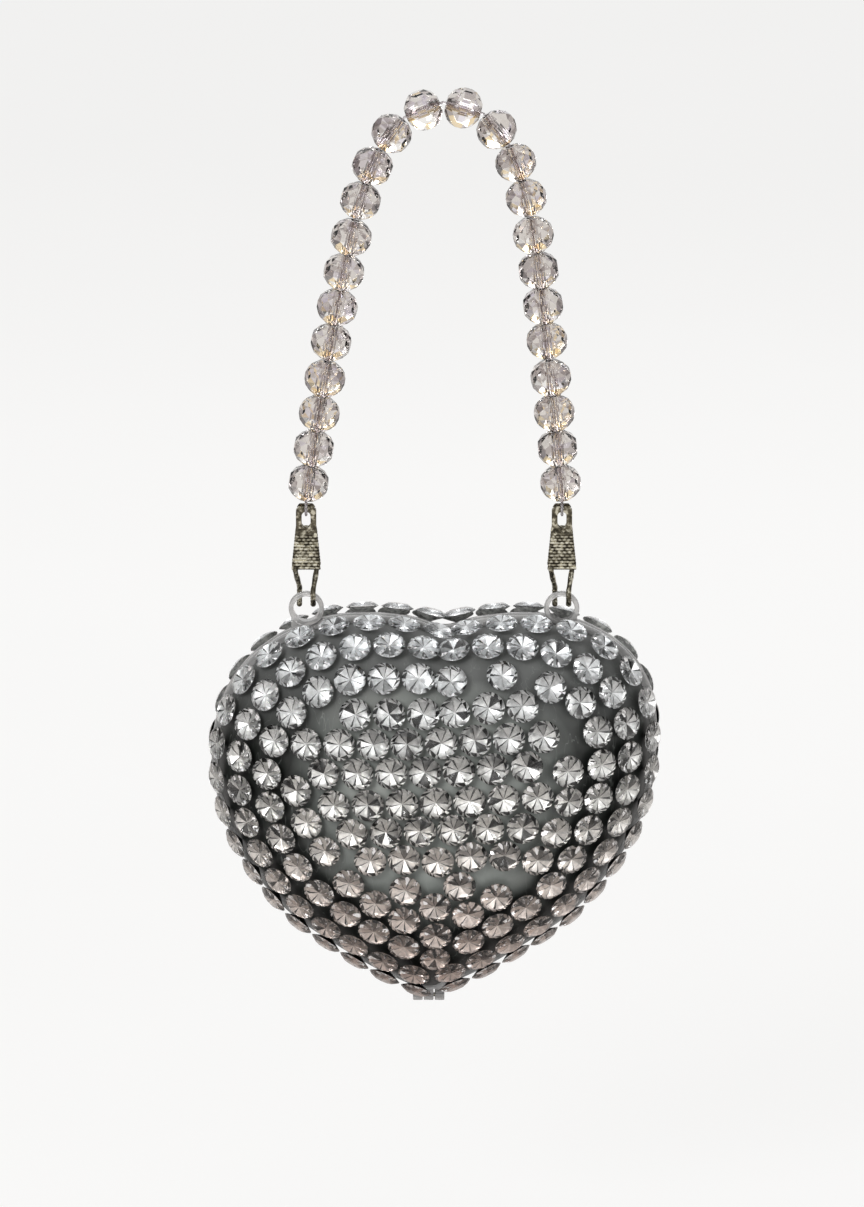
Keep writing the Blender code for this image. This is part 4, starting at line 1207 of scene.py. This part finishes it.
def arm_leg(name, foot, facing):
    """The wire leg of one arm, which crosses to the other face and hooks under the eyelet's top."""
    starts = (LEG_RADIUS - PAD_BOTTOM, -LEG_RADIUS - PAD_BOTTOM)
    path = [Vector((facing * LEG_TOP_OFFSET, facing * PAD_OFFSET, height)) for height in starts]
    for degrees in HOOK_DEGREES:
        turn = math.radians(degrees)
        across = -facing * HOOK_RADIUS * math.cos(turn)
        path.append(Vector((facing * LEG_FOOT_OFFSET, across, HOOK_RADIUS * math.sin(turn) - CLIP_DROP)))
    path = [np.array(foot + place) for place in path]
    fine = smooth_through([2 * path[0] - path[1], *path, 2 * path[-1] - path[-2]], LEG_SPLITS) + [path[-1]]
    points = [Vector(place) for place in fine]
    first, second = LEG_WAVES
    radii = []
    for k in range(len(points)):
        radii.append(LEG_RADIUS * (1 + LEG_WOBBLE * math.sin(first * k) + LEG_WOBBLE * math.sin(second * k)))
    last = (points[-1] - points[-2]).normalized()
    for share in LEG_TIP_SHARES:
        points.append(points[-1] + last * LEG_RADIUS * LEG_TIP_STEP)
        radii.append(LEG_RADIUS * math.sqrt(1 - (1 - share) ** 2))
    leg = from_shape(name, tube(points, radii, LEG_SIDES), NICKEL_LOOK)
    smooth(leg, CLIP_SMOOTH)
    mark_wear_and_highlight(leg, lambda place: LEG_WORN)
    return leg


def build_clips():
    for label, foot in zip(("left", "right"), FEET):
        for end, facing in (("front", -1), ("rear", 1)):
            node = f"{label}_clip_{end}_arm"
            body = f"{label}_clip" if facing < 0 else f"{label}_clip_grip"
            for make, part in ((arm_sheet, "sheet"), (arm_pad, "pad"), (arm_leg, "leg")):
                piece = make(f"{node}_{part}", foot, facing)
                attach(piece, body)
                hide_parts(node)


# The floor, the light and the camera


def build_stage():
    bpy.ops.mesh.primitive_plane_add(size=FLOOR_SIZE, location=(0, 0, CAD_BOX[0].z - FLOOR_DROP))
    floor = bpy.context.object
    floor.name = "floor"
    floor.data.materials.append(floor_material())


def build_world():
    """White to the camera, soft light on matt surfaces, a studio with dark sides for mirrors and glass."""
    world = bpy.data.worlds.new("studio")
    bpy.context.scene.world = world
    world.use_nodes = True
    tree = world.node_tree
    tree.nodes.clear()
    way = add_node(tree, "TexCoord").outputs["Generated"]
    split = add_node(tree, "SeparateXYZ", {"Vector": way}).outputs
    values = []
    for name in "YZ":
        half = add_node(tree, "MapRange", {"Value": split[name], "From Min": -1.0})
        values.append(half.outputs["Result"])
    values.append(add_node(tree, "Math", {0: split["X"]}, operation="ABSOLUTE").outputs[0])
    backward, upward, aside = values
    shades = []
    for value, levels in ((aside, ASIDE_LEVELS), (backward, BACKWARD_LEVELS), (upward, UPWARD_LEVELS)):
        shades.append(set_stops(add_node(tree, "ValToRGB", {"Fac": value}), levels))
    studio = shades[0]
    for shade in shades[1:]:
        factors = {0: 1.0, 6: studio, 7: shade}
        studio = add_node(tree, "Mix", factors, data_type="RGBA", blend_type="MULTIPLY").outputs[2]
    white = (1.0, 1.0, 1.0, 1.0)
    lights = []
    for colour, strength in zip((white, studio, white), STUDIO_STRENGTHS):
        lights.append(add_node(tree, "Background", {"Color": colour, "Strength": strength}).outputs[0])
    seen, mirrored, direct = lights
    for shares, other in (((0.0, 1.0), mirrored), ((1.0, 0.0), direct)):
        seen = add_node(tree, "MixShader", {0: seen_share(tree, *shares), 1: seen, 2: other}).outputs[0]
    add_node(tree, "OutputWorld", {"Surface": seen})


def build_light():
    """Soft lamps that mirrors don't see."""
    for name, place, size, power in LAMPS:
        lamp = bpy.data.lights.new(name, "AREA")
        lamp.size = size
        lamp.energy = power
        made = new_object(name, lamp)
        made.visible_glossy = False
        made.location = Vector(AIM) + Vector(place)
        made.rotation_euler = (-Vector(place)).to_track_quat("-Z", "Y").to_euler()


def build_camera():
    data = bpy.data.cameras.new("camera")
    data.sensor_width = SENSOR
    data.lens = SENSOR * CAMERA_DISTANCE / FRAME_HEIGHT
    data.clip_start = CAMERA_DISTANCE / 100
    camera = new_object("camera", data)
    tilt = math.radians(CAMERA_TILT)
    back = Vector((0, -math.cos(tilt), math.sin(tilt)))
    camera.location = Vector(AIM) + back * CAMERA_DISTANCE
    camera.rotation_euler = (-back).to_track_quat("-Z", "Y").to_euler()
    bpy.context.scene.camera = camera


FEET = []
for SIDE in ("left", "right"):
    LOW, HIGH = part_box(SIDE + "_clip_front_arm")
    FEET.append(Vector(((LOW.x + HIGH.x) / 2, 0, HIGH.z - FOLD_RADIUS - SHEET / 2)))
EYELETS = [Vector((foot.x, 0, foot.z - CLIP_DROP - PIVOT_RISE)) for foot in FEET]
LOW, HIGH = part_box("hinge_pin")
HINGE = (LOW + HIGH) / 2
TIP = heart_outline()[OUTLINE_STEPS]
HEART_X = HINGE.x - TIP[0]
HEART_Z = HINGE.z + RIM_OUT + LEAF_GAP + KNUCKLE_RADIUS - TIP[1]
HEART = Heart()

WALL_LOOK = wall_material()
RIM_LOOK = rim_material()
FOIL_LOOK = foil_material()
LIT_CUP_LOOK = lit_cup_material()
GEM_LOOK = gem_material()
BEAD_LOOK = bead_material()
CORD_LOOK = cord_material()
NICKEL_LOOK = nickel_material()

build_camera()
build_stage()
build_world()
build_light()
build_shell("front_shell", -1, "front_half")
build_shell("back_shell", 1, "back_half")
build_gems("front_stones", -1, "front_half", 5)
build_gems("back_stones", 1, "back_half", 6)
build_beads()
build_clips()
for NAME, NODE in frame["nodes"].items():
    if NAME.startswith("cord_") or NAME == "hinge_pin":
        NODE.data.materials.clear()
        NODE.data.materials.append(NICKEL_LOOK if NAME == "hinge_pin" else CORD_LOOK)

bpy.context.scene.view_settings.view_transform = "Standard"
